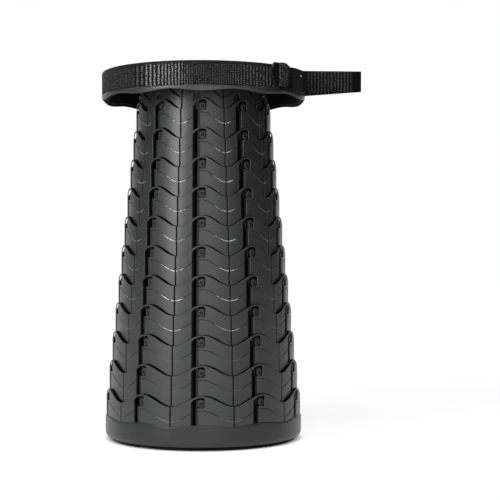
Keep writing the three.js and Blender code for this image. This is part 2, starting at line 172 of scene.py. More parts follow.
# A value that the piece's own points or faces carry
def readValue(tree, name):
    return addNode(tree, "ShaderNodeAttribute", attribute_name=name).outputs["Fac"]


# Copies of one piece, evenly round the stool's axis
def aroundTree():
    tree, start, end = newTree("aroundTheAxis", "GeometryNodeTree", [
        ("Geometry", "NodeSocketGeometry", None),
        ("Copies", "NodeSocketInt", 10),
        ("Join", "NodeSocketFloat", 0.00001),
        ("Material", "NodeSocketMaterial", None),
    ], [("Geometry", "NodeSocketGeometry")])
    line = addNode(tree, "GeometryNodeMeshLine", {"Count": start.outputs["Copies"]})
    line.inputs["Offset"].default_value = (0, 0, 0)
    index = addNode(tree, "GeometryNodeInputIndex")
    share = math2(tree, "DIVIDE", index.outputs[0], start.outputs["Copies"])
    turn = math2(tree, "MULTIPLY", share, 2 * math.pi)
    euler = addNode(tree, "ShaderNodeCombineXYZ", {"Z": turn})
    rotation = addNode(tree, "FunctionNodeEulerToRotation", {0: euler.outputs[0]})
    copies = addNode(tree, "GeometryNodeInstanceOnPoints", {
        "Points": line.outputs[0],
        "Instance": start.outputs["Geometry"],
        "Rotation": rotation.outputs[0],
    })
    real = addNode(tree, "GeometryNodeRealizeInstances", {0: copies.outputs[0]})
    joined = addNode(tree, "GeometryNodeMergeByDistance", {
        "Geometry": real.outputs[0],
        "Distance": start.outputs["Join"],
    })
    painted = addNode(tree, "GeometryNodeSetMaterial", {
        "Geometry": joined.outputs[0],
        "Material": start.outputs["Material"],
    })
    tree.links.new(painted.outputs[0], end.inputs[0])
    return tree


around = aroundTree()


# Shader node groups that several materials share

# the near-black colour that painted shade darkens to
paintedShadeColor = (0.002, 0.002, 0.002)


# Fine moulded grain: a mottled value for colour and roughness, and a height for bump
def grainGroup():
    tree, start, end = newTree("mouldedGrain", "ShaderNodeTree", [
        ("Grain size", "NodeSocketFloat", 0.0006),
        ("Mottle size", "NodeSocketFloat", 0.02),
    ], [("Mottle", "NodeSocketFloat"), ("Height", "NodeSocketFloat")])
    place = addNode(tree, "ShaderNodeTexCoord").outputs["Object"]
    grainScale = math2(tree, "DIVIDE", 1.0, start.outputs["Grain size"])
    mottleScale = math2(tree, "DIVIDE", 1.0, start.outputs["Mottle size"])
    fine = addNode(tree, "ShaderNodeTexNoise", {
        "Vector": place, "Scale": grainScale, "Detail": 2.0, "Roughness": 0.6})
    broad = addNode(tree, "ShaderNodeTexNoise", {
        "Vector": place, "Scale": mottleScale, "Detail": 3.0, "Roughness": 0.55})
    tree.links.new(broad.outputs[0], end.inputs["Mottle"])
    tree.links.new(fine.outputs[0], end.inputs["Height"])
    return tree


# Painted shade from the piece's own shade value, which is 1 where it is hidden from light
def paintedShadeGroup():
    tree, start, end = newTree("paintedShade", "ShaderNodeTree", [
        ("Color", "NodeSocketColor", (0.1, 0.1, 0.1, 1)),
        ("Depth", "NodeSocketFloat", 0.9),
    ], [("Color", "NodeSocketColor"), ("Hidden", "NodeSocketFloat")])
    shade = readValue(tree, "shade")
    amount = math2(tree, "MULTIPLY", shade, start.outputs["Depth"], clamp=True)
    mixed = mixColors(tree, amount, start.outputs["Color"], paintedShadeColor)
    tree.links.new(mixed, end.inputs["Color"])
    tree.links.new(amount, end.inputs["Hidden"])
    return tree


webbing = {
    "threadPitch": 2.5,      # of the dots across the band
    "unevenness": 0.85,
    "crest": 2.8,            # how narrow the light top of a rib is
    "contrast": 3.0,         # how soon the valleys' painted shade deepens as the ribs grow
    "dotting": 2.6,          # how soon the dots show as the ribs grow
    "dotDepth": (0.85, -0.3),    # on weak ribs, and its change up to full ribs
    "fullness": 1.15,
    "stretch": 3.0,          # of the uneven light, across the ribs
    "patch": 0.6,
    "patchEdge": (0.40, 0.60),
    "patchLight": 2.0,
    "hole": (0.002, 0.002, 0.0025),      # colour between the threads
    "roughness": (0.85, 0.55),   # between the threads and on them
    "specular": 0.12,
    "sheen": 0.05,
    "sheenRoughness": 0.5,
    "paintedShade": 0.95,
    "bump": 0.6,
    "bumpHeight": 0.4,
}


# A webbing's weave on the piece's own UV map: ribs along the band, millimetres across it
def weaveGroup():
    tree, start, end = newTree("weave", "ShaderNodeTree", [
        ("Thread pitch", "NodeSocketFloat", webbing["threadPitch"]),
        ("Unevenness", "NodeSocketFloat", webbing["unevenness"]),
    ], [("Thread", "NodeSocketFloat"), ("Height", "NodeSocketFloat")])
    place = addNode(tree, "ShaderNodeUVMap", uv_map="band").outputs["UV"]
    axes = addNode(tree, "ShaderNodeSeparateXYZ", {0: place})
    along, across = axes.outputs["X"], axes.outputs["Y"]
    strength = readValue(tree, "ribs")

    # 1 where the share is 0, the value itself where it is 1
    def partly(value, share):
        return math2(tree, "MULTIPLY_ADD", math2(tree, "SUBTRACT", value, 1.0), share, 1.0)

    # the rib's top keeps the thread colour and its valleys turn to the dark between the threads:
    # painted shade over the ribs' relief, besides the woven dots
    rib = math2(tree, "SINE", math2(tree, "MULTIPLY", along, math.pi))
    rib = math2(tree, "POWER", math2(tree, "ABSOLUTE", rib), webbing["crest"])
    contrast = math2(tree, "MULTIPLY", strength, webbing["contrast"], clamp=True)
    dots = math2(tree, "DIVIDE", across, start.outputs["Thread pitch"])
    dots = math2(tree, "SINE", math2(tree, "MULTIPLY", dots, 2 * math.pi))
    dots = math2(tree, "MULTIPLY_ADD", dots, 0.5, 0.5)
    weakDepth, change = webbing["dotDepth"]
    dotted = math2(tree, "MULTIPLY", strength, webbing["dotting"], clamp=True)
    depth = math2(tree, "MULTIPLY_ADD", strength, change, weakDepth)
    dotted = math2(tree, "MULTIPLY", dotted, depth)
    fullness = math2(tree, "POWER", strength, webbing["fullness"], clamp=True)
    thread = math2(tree, "MULTIPLY", partly(rib, contrast), partly(dots, dotted))
    thread = math2(tree, "MULTIPLY", thread, fullness)

    stretched = math2(tree, "MULTIPLY", along, webbing["stretch"])
    spots = addNode(tree, "ShaderNodeCombineXYZ", {0: stretched, 1: across})
    loose = addNode(tree, "ShaderNodeTexNoise", {
        "Vector": spots.outputs[0], "Scale": webbing["patch"], "Detail": 3.0})
    spread = rampValue(tree, loose.outputs[0], 0.0, webbing["patchLight"], *webbing["patchEdge"])
    uneven = math2(tree, "MULTIPLY", thread, spread, clamp=True)
    mixed = addNode(tree, "ShaderNodeMix", {
        "Factor": start.outputs["Unevenness"], 2: thread, 3: uneven}, data_type="FLOAT")
    tree.links.new(mixed.outputs[0], end.inputs["Thread"])
    tree.links.new(thread, end.inputs["Height"])
    return tree


grain = grainGroup()
paintedShade = paintedShadeGroup()
weave = weaveGroup()


# Materials

grainHeight = 0.2
glintStrokes = {                   # broken strokes in the painted highlights
    "least": 0.25,
    "edge": 0.40,
    "gain": 9.0,
}


def newMaterial(name):
    material = bpy.data.materials.new(name)
    material.use_nodes = True
    tree = material.node_tree
    shader = tree.nodes["Principled BSDF"]
    return material, tree, shader


# A material without a pattern
def plainMaterial(name, color, roughness, specular):
    material, tree, shader = newMaterial(name)
    shader.inputs["Base Color"].default_value = (*color, 1)
    shader.inputs["Roughness"].default_value = roughness
    shader.inputs["Specular IOR Level"].default_value = specular
    return material, tree, shader


def addBump(tree, shader, height, strength, distance):
    node = addNode(tree, "ShaderNodeBump", {
        "Height": height, "Strength": strength, "Distance": distance * mm})
    tree.links.new(node.outputs[0], shader.inputs["Normal"])


# The grain group with its two sizes
def addGrain(tree, fine, broad):
    texture = addNode(tree, "ShaderNodeGroup", node_tree=grain)
    texture.inputs["Grain size"].default_value = fine * mm
    texture.inputs["Mottle size"].default_value = broad * mm
    return texture.outputs["Mottle"], texture.outputs["Height"]


# A colour with painted shade where the piece's own shade value says, and how hidden each place is
def addPaintedShade(tree, shader, tone, depth):
    shadeNode = addNode(tree, "ShaderNodeGroup", {"Color": tone}, node_tree=paintedShade)
    shadeNode.inputs["Depth"].default_value = depth
    tree.links.new(shadeNode.outputs["Color"], shader.inputs["Base Color"])
    return shadeNode.outputs["Hidden"]


# Moulded plastic with painted shade. A face value of the piece marks where a glint is painted,
# lightened in broken strokes, or where the plastic is matt.
def plastic(name, values):
    material, tree, shader = newMaterial(name)
    mottle, height = addGrain(tree, values["grain"], values["mottle"])
    tone = mixColors(tree, mottle, values["dark"], values["light"])
    # painted highlight: where the face value says, the colour turns lighter in broken strokes
    if "lighter" in values:
        place = addNode(tree, "ShaderNodeTexCoord").outputs["Object"]
        strokes = addNode(tree, "ShaderNodeTexNoise", {
            "Vector": place, "Scale": 1 / (values["stroke"] * mm), "Detail": 2.0})
        broken = math2(tree, "SUBTRACT", strokes.outputs[0], glintStrokes["edge"])
        broken = math2(tree, "MULTIPLY_ADD", broken, glintStrokes["gain"], glintStrokes["least"], clamp=True)
        broken = math2(tree, "MULTIPLY", readValue(tree, "glintAndMatt"), broken)
        tone = mixColors(tree, broken, tone, values["lighter"])
    hidden = addPaintedShade(tree, shader, tone, values["paintedShade"])
    # where shade is painted, the surface turns into a black metal that reflects nothing, so the
    # painted shade stays dark
    tree.links.new(hidden, shader.inputs["Metallic"])
    rough = rampValue(tree, mottle, *values["roughness"])
    if "matt" in values:
        rough = math2(tree, "MULTIPLY_ADD", readValue(tree, "glintAndMatt"), values["matt"], rough)
    # painted shade is made rough too, so that no highlight shows on it
    rough = math2(tree, "MAXIMUM", rough, hidden)
    tree.links.new(rough, shader.inputs["Roughness"])
    shader.inputs["Specular IOR Level"].default_value = values["specular"]
    addBump(tree, shader, height, values["bump"], grainHeight)
    return material


ringPlastic = plastic("ringPlastic", {
    "dark": (0.029, 0.030, 0.031),
    "light": (0.038, 0.039, 0.040),
    # the lighter colour of the glints painted on the creases
    "lighter": (0.85, 0.85, 0.85),
    "stroke": 2.6,
    "roughness": (0.34, 0.41),
    "specular": 0.65,
    "grain": 0.7,
    "mottle": 18,
    "bump": 0.10,
    "paintedShade": 0.95,
})
seatPlastic = plastic("seatPlastic", {
    "dark": (0.033, 0.034, 0.035),
    "light": (0.045, 0.046, 0.047),
    "roughness": (0.31, 0.42),
    "matt": 0.36,
    "specular": 0.7,
    "grain": 1.1,
    "mottle": 9,
    "bump": 0.45,
    "paintedShade": 0.95,
})
capPlastic = plastic("capPlastic", {
    "dark": (0.050, 0.051, 0.052),
    "light": (0.062, 0.063, 0.064),
    "roughness": (0.66, 0.76),
    "specular": 0.45,
    "grain": 0.8,
    "mottle": 14,
    "bump": 0.15,
    "paintedShade": 0.95,
})
platePlastic = plastic("platePlastic", {
    "dark": (0.034, 0.035, 0.036),
    "light": (0.046, 0.047, 0.048),
    "roughness": (0.5, 0.62),
    "specular": 0.4,
    "grain": 0.9,
    "mottle": 16,
    "bump": 0.25,
    "paintedShade": 0.9,
})
bucklePlastic = plastic("bucklePlastic", {
    "dark": (0.009, 0.009, 0.010),
    "light": (0.017, 0.017, 0.018),
    # the lighter colour of the highlights painted on the slider's edges
    "lighter": (0.22, 0.22, 0.22),
    "stroke": 7,
    "roughness": (0.22, 0.32),
    "specular": 0.6,
    "grain": 0.5,
    "mottle": 7,
    "bump": 0.06,
    "paintedShade": 0.8,
})
footRubber = plastic("footRubber", {
    "dark": (0.008, 0.008, 0.008),
    "light": (0.016, 0.016, 0.016),
    "roughness": (0.75, 0.9),
    "specular": 0.3,
    "grain": 0.6,
    "mottle": 6,
    "bump": 0.3,
    "paintedShade": 0.8,
})


steelLook = {
    "dark": (0.50, 0.50, 0.51),
    "light": (0.66, 0.66, 0.67),
    "roughness": (0.22, 0.34),
    "grain": 0.3,
    "mottle": 3,
    "bump": 0.05,
}


def steelMaterial():
    material, tree, shader = newMaterial("steel")
    mottle, height = addGrain(tree, steelLook["grain"], steelLook["mottle"])
    tone = mixColors(tree, mottle, steelLook["dark"], steelLook["light"])
    tree.links.new(tone, shader.inputs["Base Color"])
    rough = rampValue(tree, mottle, *steelLook["roughness"])
    tree.links.new(rough, shader.inputs["Roughness"])
    shader.inputs["Metallic"].default_value = 1.0
    addBump(tree, shader, height, steelLook["bump"], grainHeight)
    return material


def webbingMaterial(name, thread):
    material, tree, shader = newMaterial(name)
    threads = addNode(tree, "ShaderNodeGroup", node_tree=weave)
    tone = mixColors(tree, threads.outputs["Thread"], webbing["hole"], thread)
    addPaintedShade(tree, shader, tone, webbing["paintedShade"])
    rough = rampValue(tree, threads.outputs["Thread"], *webbing["roughness"])
    tree.links.new(rough, shader.inputs["Roughness"])
    shader.inputs["Specular IOR Level"].default_value = webbing["specular"]
    shader.inputs["Sheen Weight"].default_value = webbing["sheen"]
    shader.inputs["Sheen Roughness"].default_value = webbing["sheenRoughness"]
    addBump(tree, shader, threads.outputs["Height"], webbing["bump"], webbing["bumpHeight"])
    return material


steel = steelMaterial()
# one webbing in three copies: the threads of the loop and of the fold are darker than the belt's,
# painted shade for how the light falls on each piece
beltWebbing = webbingMaterial("beltWebbing", (0.37, 0.37, 0.373))
loopWebbing = webbingMaterial("loopWebbing", (0.16, 0.16, 0.163))
foldWebbing = webbingMaterial("foldWebbing", (0.30, 0.30, 0.303))
print("materials made")


# Shapes: helpers

def outward(azimuth):
    return Vector((math.sin(azimuth), -math.cos(azimuth), 0))


def objectFrom(bm, name):
    mesh = bpy.data.meshes.new(name)
    bm.to_mesh(mesh)
    bm.free()
    obj = bpy.data.objects.new(name, mesh)
    bpy.context.scene.collection.objects.link(obj)
    return obj


def newShape():
    bm = bmesh.new()
    # each point carries a painted shade, each face marks a painted glint or a matt place
    bm.verts.layers.float.new("shade")
    bm.faces.layers.float.new("glintAndMatt")
    return bm


def settle(obj, body, material, replaced=(), sharpAbove=30):
    obj.data.materials.clear()
    obj.data.materials.append(material)
    obj.data.polygons.foreach_set("use_smooth", [True] * len(obj.data.polygons))
    obj.data.set_sharp_from_angle(angle=sharpAbove * degree)
    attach(obj, body)
    if replaced:
        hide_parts(*replaced)
    return obj


# Evenly spaced values, with both ends
def frange(start, stop, steps):
    return [start + (stop - start) * i / steps for i in range(steps + 1)]


# 0 below the first value, 1 above the second
def rise(value, low, high):
    return min(1.0, max(0.0, (value - low) / (high - low)))


def circle(centre, radius, sides):
    turns = frange(0, 2 * math.pi, sides)[:-1]
    return [
        Vector((centre[0] + radius * math.cos(t), centre[1] + radius * math.sin(t)))
        for t in turns]


# An outline with its corners rounded, from corners of (x, y, radius)
def roundOutline(corners, steps=4):
    points = []
    count = len(corners)
    for i, (x, y, radius) in enumerate(corners):
        here = Vector((x, y))
        if radius <= 0:
            points.append(here)
            continue
        before = Vector(corners[i - 1][:2]) - here
        after = Vector(corners[(i + 1) % count][:2]) - here
        reach = radius / math.tan(before.angle(after) / 2)
        first = here + before.normalized() * reach
        last = here + after.normalized() * reach
        for t in frange(0, 1, steps):
            points.append(first * (1 - t) ** 2 + here * 2 * t * (1 - t) + last * t * t)
    return points


# The same outline moved to its right-hand side by a distance
def offsetOutline(points, distance):
    moved = []
    count = len(points)
    for i, here in enumerate(points):
        way = (points[(i + 1) % count] - points[i - 1]).normalized()
        moved.append(here + Vector((way.y, -way.x)) * distance)
    return moved


def distanceTo(outline, point):
    nearest = math.inf
    for i, here in enumerate(outline):
        before = outline[i - 1]
        place, share = intersect_point_line(point, before, here)
        if share < 0:
            place = before
        elif share > 1:
            place = here
        nearest = min(nearest, (Vector(place[:2]) - point).length)
    return nearest


def inside(outline, x, y):
    isInside = False
    for i, b in enumerate(outline):
        a = outline[i - 1]
        if (a.y > y) != (b.y > y) and x < (b.x - a.x) * (y - a.y) / (b.y - a.y) + a.x:
            isInside = not isInside
    return isInside


# A flat pattern cut into triangles that all turn the same way: its points and its faces
def cutPattern(border, holes, lines=()):
    points = []
    edges = []
    for outline in [border] + holes:
        first = len(points)
        points.extend(outline)
        edges.extend((first + i, first + (i + 1) % len(outline)) for i in range(len(outline)))
    for line in lines:
        first = len(points)
        points.extend(line)
        edges.extend((first + i, first + i + 1) for i in range(len(line) - 1))
    flat, _, faces, _, _, _ = delaunay_2d_cdt(points, edges, [], 1, 1e-5)
    kept = []
    for face in faces:
        a, b, c = (flat[i] for i in face)
        middle = (a + b + c) / 3
        if not inside(border, middle.x, middle.y):
            continue
        if any(inside(hole, middle.x, middle.y) for hole in holes):
            continue
        kept.append(face[::-1] if (b - a).cross(c - a) < 0 else face)
    return flat, kept


# The edges that only one face has, in that face's direction
def openEdges(faces):
    found = {}
    for face in faces:
        for k, i in enumerate(face):
            j = face[(k + 1) % len(face)]
            if (j, i) in found:
                del found[(j, i)]
            else:
                found[(i, j)] = True
    return list(found)


# Faces between each row of points and the next, round the rows
def stitch(bm, rows, flip=False):
    for row, following in zip(rows, rows[1:]):
        for p in range(len(row)):
            q = (p + 1) % len(row)
            if flip:
                bm.faces.new((row[p], row[q], following[q], following[p]))
            else:
                bm.faces.new((row[p], following[p], following[q], row[q]))


# A flat pattern, rolled round the axis and closed into a shell.
# The seams at both ends stay open, so that copies can be joined there.
def rollShell(bm, border, holes, lines, radius, thickness, dropAt, glintAt=None):
    shade = bm.verts.layers.float["shade"]
    glintAndMatt = bm.faces.layers.float["glintAndMatt"]
    flat, faces = cutPattern(border, holes, lines)

    def rolled(point, r):
        return (outward(point.x / radius) * r + Vector((0, 0, point.y))) * mm

    front = {}
    back = {}
    for face in faces:
        for i in face:
            if i not in front:
                # each point's drop into the wall and its painted shade; the back faces are painted
                # fully shaded
                drop, value = dropAt(flat[i])
                front[i] = bm.verts.new(rolled(flat[i], radius - drop))
                front[i][shade] = value
                back[i] = bm.verts.new(rolled(flat[i], radius - thickness))
                back[i][shade] = 1.0
        made = bm.faces.new([front[i] for i in face])
        if glintAt:
            made[glintAndMatt] = glintAt(sum((flat[i] for i in face), Vector((0, 0))) / 3)
        bm.faces.new([back[i] for i in face[::-1]])
    ends = (min(p.x for p in border), max(p.x for p in border))
    for i, j in openEdges(faces):
        if not any(max(abs(flat[i].x - x), abs(flat[j].x - x)) < 1e-4 for x in ends):
            bm.faces.new((front[i], back[i], back[j], front[j]))


# A closed profile of (radius, height, share of the ripple, painted shade), carried round the axis
def revolve(bm, profile, count, liftAt):
    shade = bm.verts.layers.float["shade"]
    rows = []
    for s in range(count):
        azimuth = 2 * math.pi * s / count
        lift = liftAt(azimuth)
        row = []
        for radius, height, share, value in profile:
            place = outward(azimuth) * radius + Vector((0, 0, height + lift * share))
            vertex = bm.verts.new(place * mm)
            vertex[shade] = value
            row.append(vertex)
        rows.append(row)
    stitch(bm, rows + rows[:1])


# An arc of profile points: centre, radius, from and to in degrees from the outward direction
def arc(centre, radius, start, stop, steps, share=0.0, value=0.0):
    x, y = centre
    turns = [turn * degree for turn in frange(start, stop, steps)]
    return [(x + radius * math.cos(t), y + radius * math.sin(t), share, value) for t in turns]


# The rings of the column

column = {
    "waves": 10,
    "radius": 120.0,         # outside of the largest ring
    "step": 3.67,            # each ring's radius is this much smaller
    "wall": 2.9,
    "skin": 0.8,             # outer skin, over a lower inner wall
    "linerDepth": 0.7,
    "linerDrop": 5.5,
    "waveDepth": 12.7,
    "cells": 36,             # of the grid along one wave
    "linerCells": 12,
    "crestAzimuth": -0.8,
    "latchAzimuth": -3.3,
    "bevel": 0.35,
    "creaseDrop": 17.0,      # from the edge down to the crease
    "creaseWidth": 0.6,
    "creaseDepth": 0.35,
    # painted shade along the crease line
    "creaseShade": 1.0,
    # how far the painted glint on the crease reaches, left and right of a valley
    "glint": ((7.0, 11.0), (4.2, 6.4)),
    "glintWidth": 0.85,
    # how bright the painted glint is at each of the ten valleys, from the one right of the front
    "valleyGlints": (0.8, 0.3, 0.5, 0.6, 0.4, 0.6, 0.5, 0.4, 0.3, 1.0),
    "footGlints": {1: 0.2, 2: 0.05, 3: 0.1, 4: 0.7},     # the painted glints are fainter on the lowest rings
    "edgeShade": (0.5, 0.9),     # painted shade of the rim, lighter where it rises to the right and darker where it falls, as if lit from the left
    "archShade": 0.6,        # painted shade of the opening's rim over the notch
    "openingBevel": 0.6,
    # painted shade of the inner wall, seen through the slots
    "linerShade": 0.94,
    "ribShade": 0.6,         # painted shade of the rib that shows in the slot
    # the painted shadow over the neighbour's edge, and how much wider it is where that edge falls
    "gapLine": (0.35, 1.75),
    "gapCore": 0.7,          # the share of its width that is fully dark
    # the groove at each seam is painted dark as well as cut in
    "grooveFlat": 0.45,
    "grooveWidth": 0.95,
    "grooveDepth": 0.55,
    "facet": 2.0,            # angle between two upright grid lines
}
latch = {
    "slot": 7.5,
    "notch": 7.9,
    "sill": 3.3,
    "floor": 38.1,
    "band": 2.2,
    "corner": 3.0,
    "flat": 7.3,
    "rounding": (0.5, 0.7, 2.4, 2.6),
    "archSteps": 9,
    "slit": (-5.1, -2.3),
    "channel": (-0.15, 8.3),
}
lug = {
    "left": 0.3,
    "width": 7.3,
    "foot": 3.6,
    "height": 9.4,
    "rounding": 3.4,
    "root": 0.6,             # inside the ring's wall
    "tipGap": 1.1,           # from the next ring's outside, so that it slides behind the skin
    "bevel": 0.6,
    "knob": 3.2,
    "knobHeight": 0.6,
    "knobFoot": 0.3,         # how much wider the knob is at its foot
    "knobRound": (0.5, 0.4),     # of its upper edge: inwards and down
    "rim": 0.7,
    "dimple": 0.9,
    "dimpleRound": 0.4,
    "dimpleFloor": 0.5,
    # painted shade of each outline from the root to the middle of the dimple
    "shades": (1.0, 0.45, 0.15, 0.4, 0.5, 0.0, 0.2, 0.85, 0.5),
}
shortRing = {
    "crest": 31.6,           # the smallest ring's own wavy edge over its foot
    "neckInset": 1.2,
    "slotTop": 24.3,
    "slotRound": 2.2,
    "recessShade": 0.5,      # painted shade on the neck behind the short slot
}

ringTwoLow, ringTwoHigh = span("ring_02")
ringThreeLow, _ = span("ring_03")
travel = ringThreeLow.z - ringTwoLow.z
crestHeight = ringTwoHigh.z - ringTwoLow.z
seatTop = span("seat_top")[1].z
ringCount = 12
crest = column["crestAzimuth"] * degree
waveAngle = 2 * math.pi / column["waves"]


def ringRadius(number):
    return column["radius"] - (number - 1) * column["step"]


def ringFoot(number):
    return ringTwoLow.z + (number - 2) * travel


def waveDrop(azimuth):
    return column["waveDepth"] * (1 - math.cos(column["waves"] * (azimuth - crest))) / 2


def steepness(azimuth, radius):
    rate = column["waveDepth"] * column["waves"] / 2 / radius
    return math.sqrt(1 + (rate * math.sin(column["waves"] * (azimuth - crest))) ** 2)


# 1 on the steepest part of an edge that falls to the right
def falling(azimuth):
    return max(0.0, math.sin(column["waves"] * (azimuth - crest)))


# the painted shadow over a neighbouring ring's edge: its width, and its shade, 1 under the edge
# and fading out above
def gapWidth(azimuth, radius):
    thin, more = column["gapLine"]
    return (thin + more * falling(azimuth)) * steepness(azimuth, radius)


def gapShade(above, azimuth, radius):
    width = gapWidth(azimuth, radius)
    return 1 - rise(above, width * column["gapCore"], width)


# 1 in the narrow groove along a seam, which is cut in and painted dark
def grooveAt(along, radius):
    left, right = seams(radius)
    fromSeam = min(along - left, right - along)
    return 1 - rise(fromSeam, column["grooveFlat"], column["grooveWidth"])


# Where one wave's panel starts and ends, along the wall
def seams(radius):
    half = waveAngle / 2
    return (crest - half) * radius, (crest + half) * radius


# A grid line along the wave
def waveLine(radius, heightAt):
    return [Vector((x, heightAt(x))) for x in frange(*seams(radius), column["cells"])]


# The grid lines round the painted shadow over an edge
def gapLines(radius, edge):
    return [
        waveLine(radius, lambda x: edge(x) + gapWidth(x / radius, radius) * share)
        for share in (0, column["gapCore"], 1)]


# Upright grid lines from the foot to a height, also along the grooves
def uprightLines(radius, heightAt):
    left, right = seams(radius)
    places = frange(left, right, round(waveAngle / degree / column["facet"]))[1:-1]
    for key in ("grooveFlat", "grooveWidth"):
        places += [left + column[key], right - column[key]]
    return [[Vector((x, 0)), Vector((x, heightAt(x)))] for x in places]


# The opening of a latch, to the right and up from the foot of the latch line:
# a long slot, an arch at its top, and the lug's notch on the right of it
def latchOpening(radius, top):
    line = column["latchAzimuth"] * degree * radius

    def under(along):
        return top - waveDrop((line + along) / radius) - latch["band"]

    small, inner, large, wide = latch["rounding"]
    shoulder = latch["notch"] - latch["flat"]
    corners = [(-latch["slot"], latch["sill"], small)]
    for turn in frange(math.pi / 2, 0, latch["archSteps"]):
        along = shoulder - (shoulder + latch["slot"]) * math.sin(turn)
        fall = latch["corner"] * (1 - math.cos(turn))
        corners.append((along, under(along) - fall, 0))
    for along in frange(shoulder, latch["notch"] - wide, 3)[1:]:
        corners.append((along, under(along), 0))
    corners += [
        (latch["notch"], under(latch["notch"]), wide * 0.8),
        (latch["notch"], latch["floor"], large),
        (0, latch["floor"], inner),
        (0, latch["sill"], small),
    ]
    return [p + Vector((line, 0)) for p in roundOutline(corners)]


# The smallest ring's slot, which ends under its own wavy edge
def plainSlot(radius):
    line = column["latchAzimuth"] * degree * radius
    small = latch["rounding"][0]
    top = shortRing["slotTop"]
    left = -latch["slot"]
    corners = [
        (left, latch["sill"], small), (left, top, shortRing["slotRound"]),
        (0, top, small), (0, latch["sill"], small)]
    return [p + Vector((line, 0)) for p in roundOutline(corners)]


def ringSkin(bm, number, top, opening):
    radius = ringRadius(number)
    left, right = seams(radius)
    bevel = column["bevel"]
    lip = column["openingBevel"]
    width = column["creaseWidth"]
    glint = column["glintWidth"]
    edge = lambda along: top - waveDrop(along / radius)
    inset = lambda along: edge(along) - bevel * steepness(along / radius, radius)
    crease = lambda along: edge(along) - column["creaseDrop"]
    neighbour = lambda along: crestHeight - travel - waveDrop(along / radius)
    border = [Vector((left, 0)), Vector((right, 0)), *waveLine(radius, edge)[::-1]]
    lines = [waveLine(radius, inset)]
    hasCrease = top > 2 * column["creaseDrop"]
    hasNeighbour = number > 1
    if hasCrease:
        for lift in (-glint, -width, 0, width):
            lines.append(waveLine(radius, lambda x: crease(x) + lift))
    if hasNeighbour:
        lines += gapLines(radius, neighbour)
    lines += uprightLines(radius, edge)
    rim = offsetOutline(opening, -lip)
    lines.append(rim + rim[:1])

    # 1 beside a valley, where a glint is painted on the crease
    def valleyShare(along):
        leftward, rightward = column["glint"]
        before = 1 - rise((right - along) / radius / degree, *leftward)
        behind = 1 - rise((along - left) / radius / degree, *rightward)
        return max(before, behind)

    # each point's drop, and its painted shade on the rim, round the opening, along the crease,
    # over the neighbour's edge and in the groove
    def dropAt(point):
        azimuth = point.x / radius
        fromEdge = (edge(point.x) - point.y) / steepness(azimuth, radius)
        rising, fallen = column["edgeShade"]
        drop = max(0.0, bevel - fromEdge)
        dark = (rising + (fallen - rising) * falling(azimuth)) * drop / bevel
        fromOpening = max(0.0, lip - distanceTo(opening, point))
        if point.y > latch["floor"] + latch["corner"]:
            dark = max(dark, column["archShade"] * fromOpening / lip)
        drop = max(drop, fromOpening)
        if hasCrease:
            depth = 1 - rise(abs(point.y - crease(point.x)), 0, width)
            drop += depth * column["creaseDepth"]
            dark = max(dark, depth * column["creaseShade"] * (1 - valleyShare(point.x)))
        if hasNeighbour:
            dark = max(dark, gapShade(point.y - neighbour(point.x), azimuth, radius))
        groove = grooveAt(point.x, radius)
        return drop + groove * column["grooveDepth"], max(dark, groove)

    # the painted glint on the crease beside a valley
    def glintAt(point):
        onGlint = hasCrease and -glint <= point.y - crease(point.x) <= 0
        return valleyShare(point.x) if onGlint else 0.0

    rollShell(bm, border, [opening], lines, radius, column["skin"], dropAt, glintAt)


# The inner wall: lower than the skin, and cut away behind the latch but for a rib beside the
# lug's channel
def ringLiner(bm, number, top):
    radius = ringRadius(number)
    left, right = seams(radius)
    line = column["latchAzimuth"] * degree * radius
    edge = lambda along: top - column["linerDrop"] - waveDrop(along / radius)
    slitLeft, slitRight = (line + x for x in latch["slit"])
    channelLeft, channelRight = (line + x for x in latch["channel"])
    sill, floor = latch["sill"], latch["floor"]
    cells = column["linerCells"]
    border = [Vector((left, 0)), Vector((right, 0))]
    border += [Vector((x, edge(x))) for x in frange(right, channelRight, cells)]
    border += [Vector(corner) for corner in (
        (channelRight, sill), (channelLeft, sill), (channelLeft, floor),
        (slitRight, floor), (slitRight, sill), (slitLeft, sill))]
    border += [Vector((x, edge(x))) for x in frange(slitLeft, left, cells)]
    places = frange(left, right, round(waveAngle / degree / column["facet"] / 2))[1:-1]
    lines = [[Vector((x, 0)), Vector((x, edge(x)))] for x in places]

    # painted shade: lighter on the rib beside the channel, nearly black elsewhere
    def dropAt(point):
        onRib = slitRight - 0.01 < point.x < channelLeft + 0.01
        return column["linerDepth"], column["ribShade"] if onRib else column["linerShade"]

    rollShell(bm, border, [], lines, radius, column["wall"], dropAt)


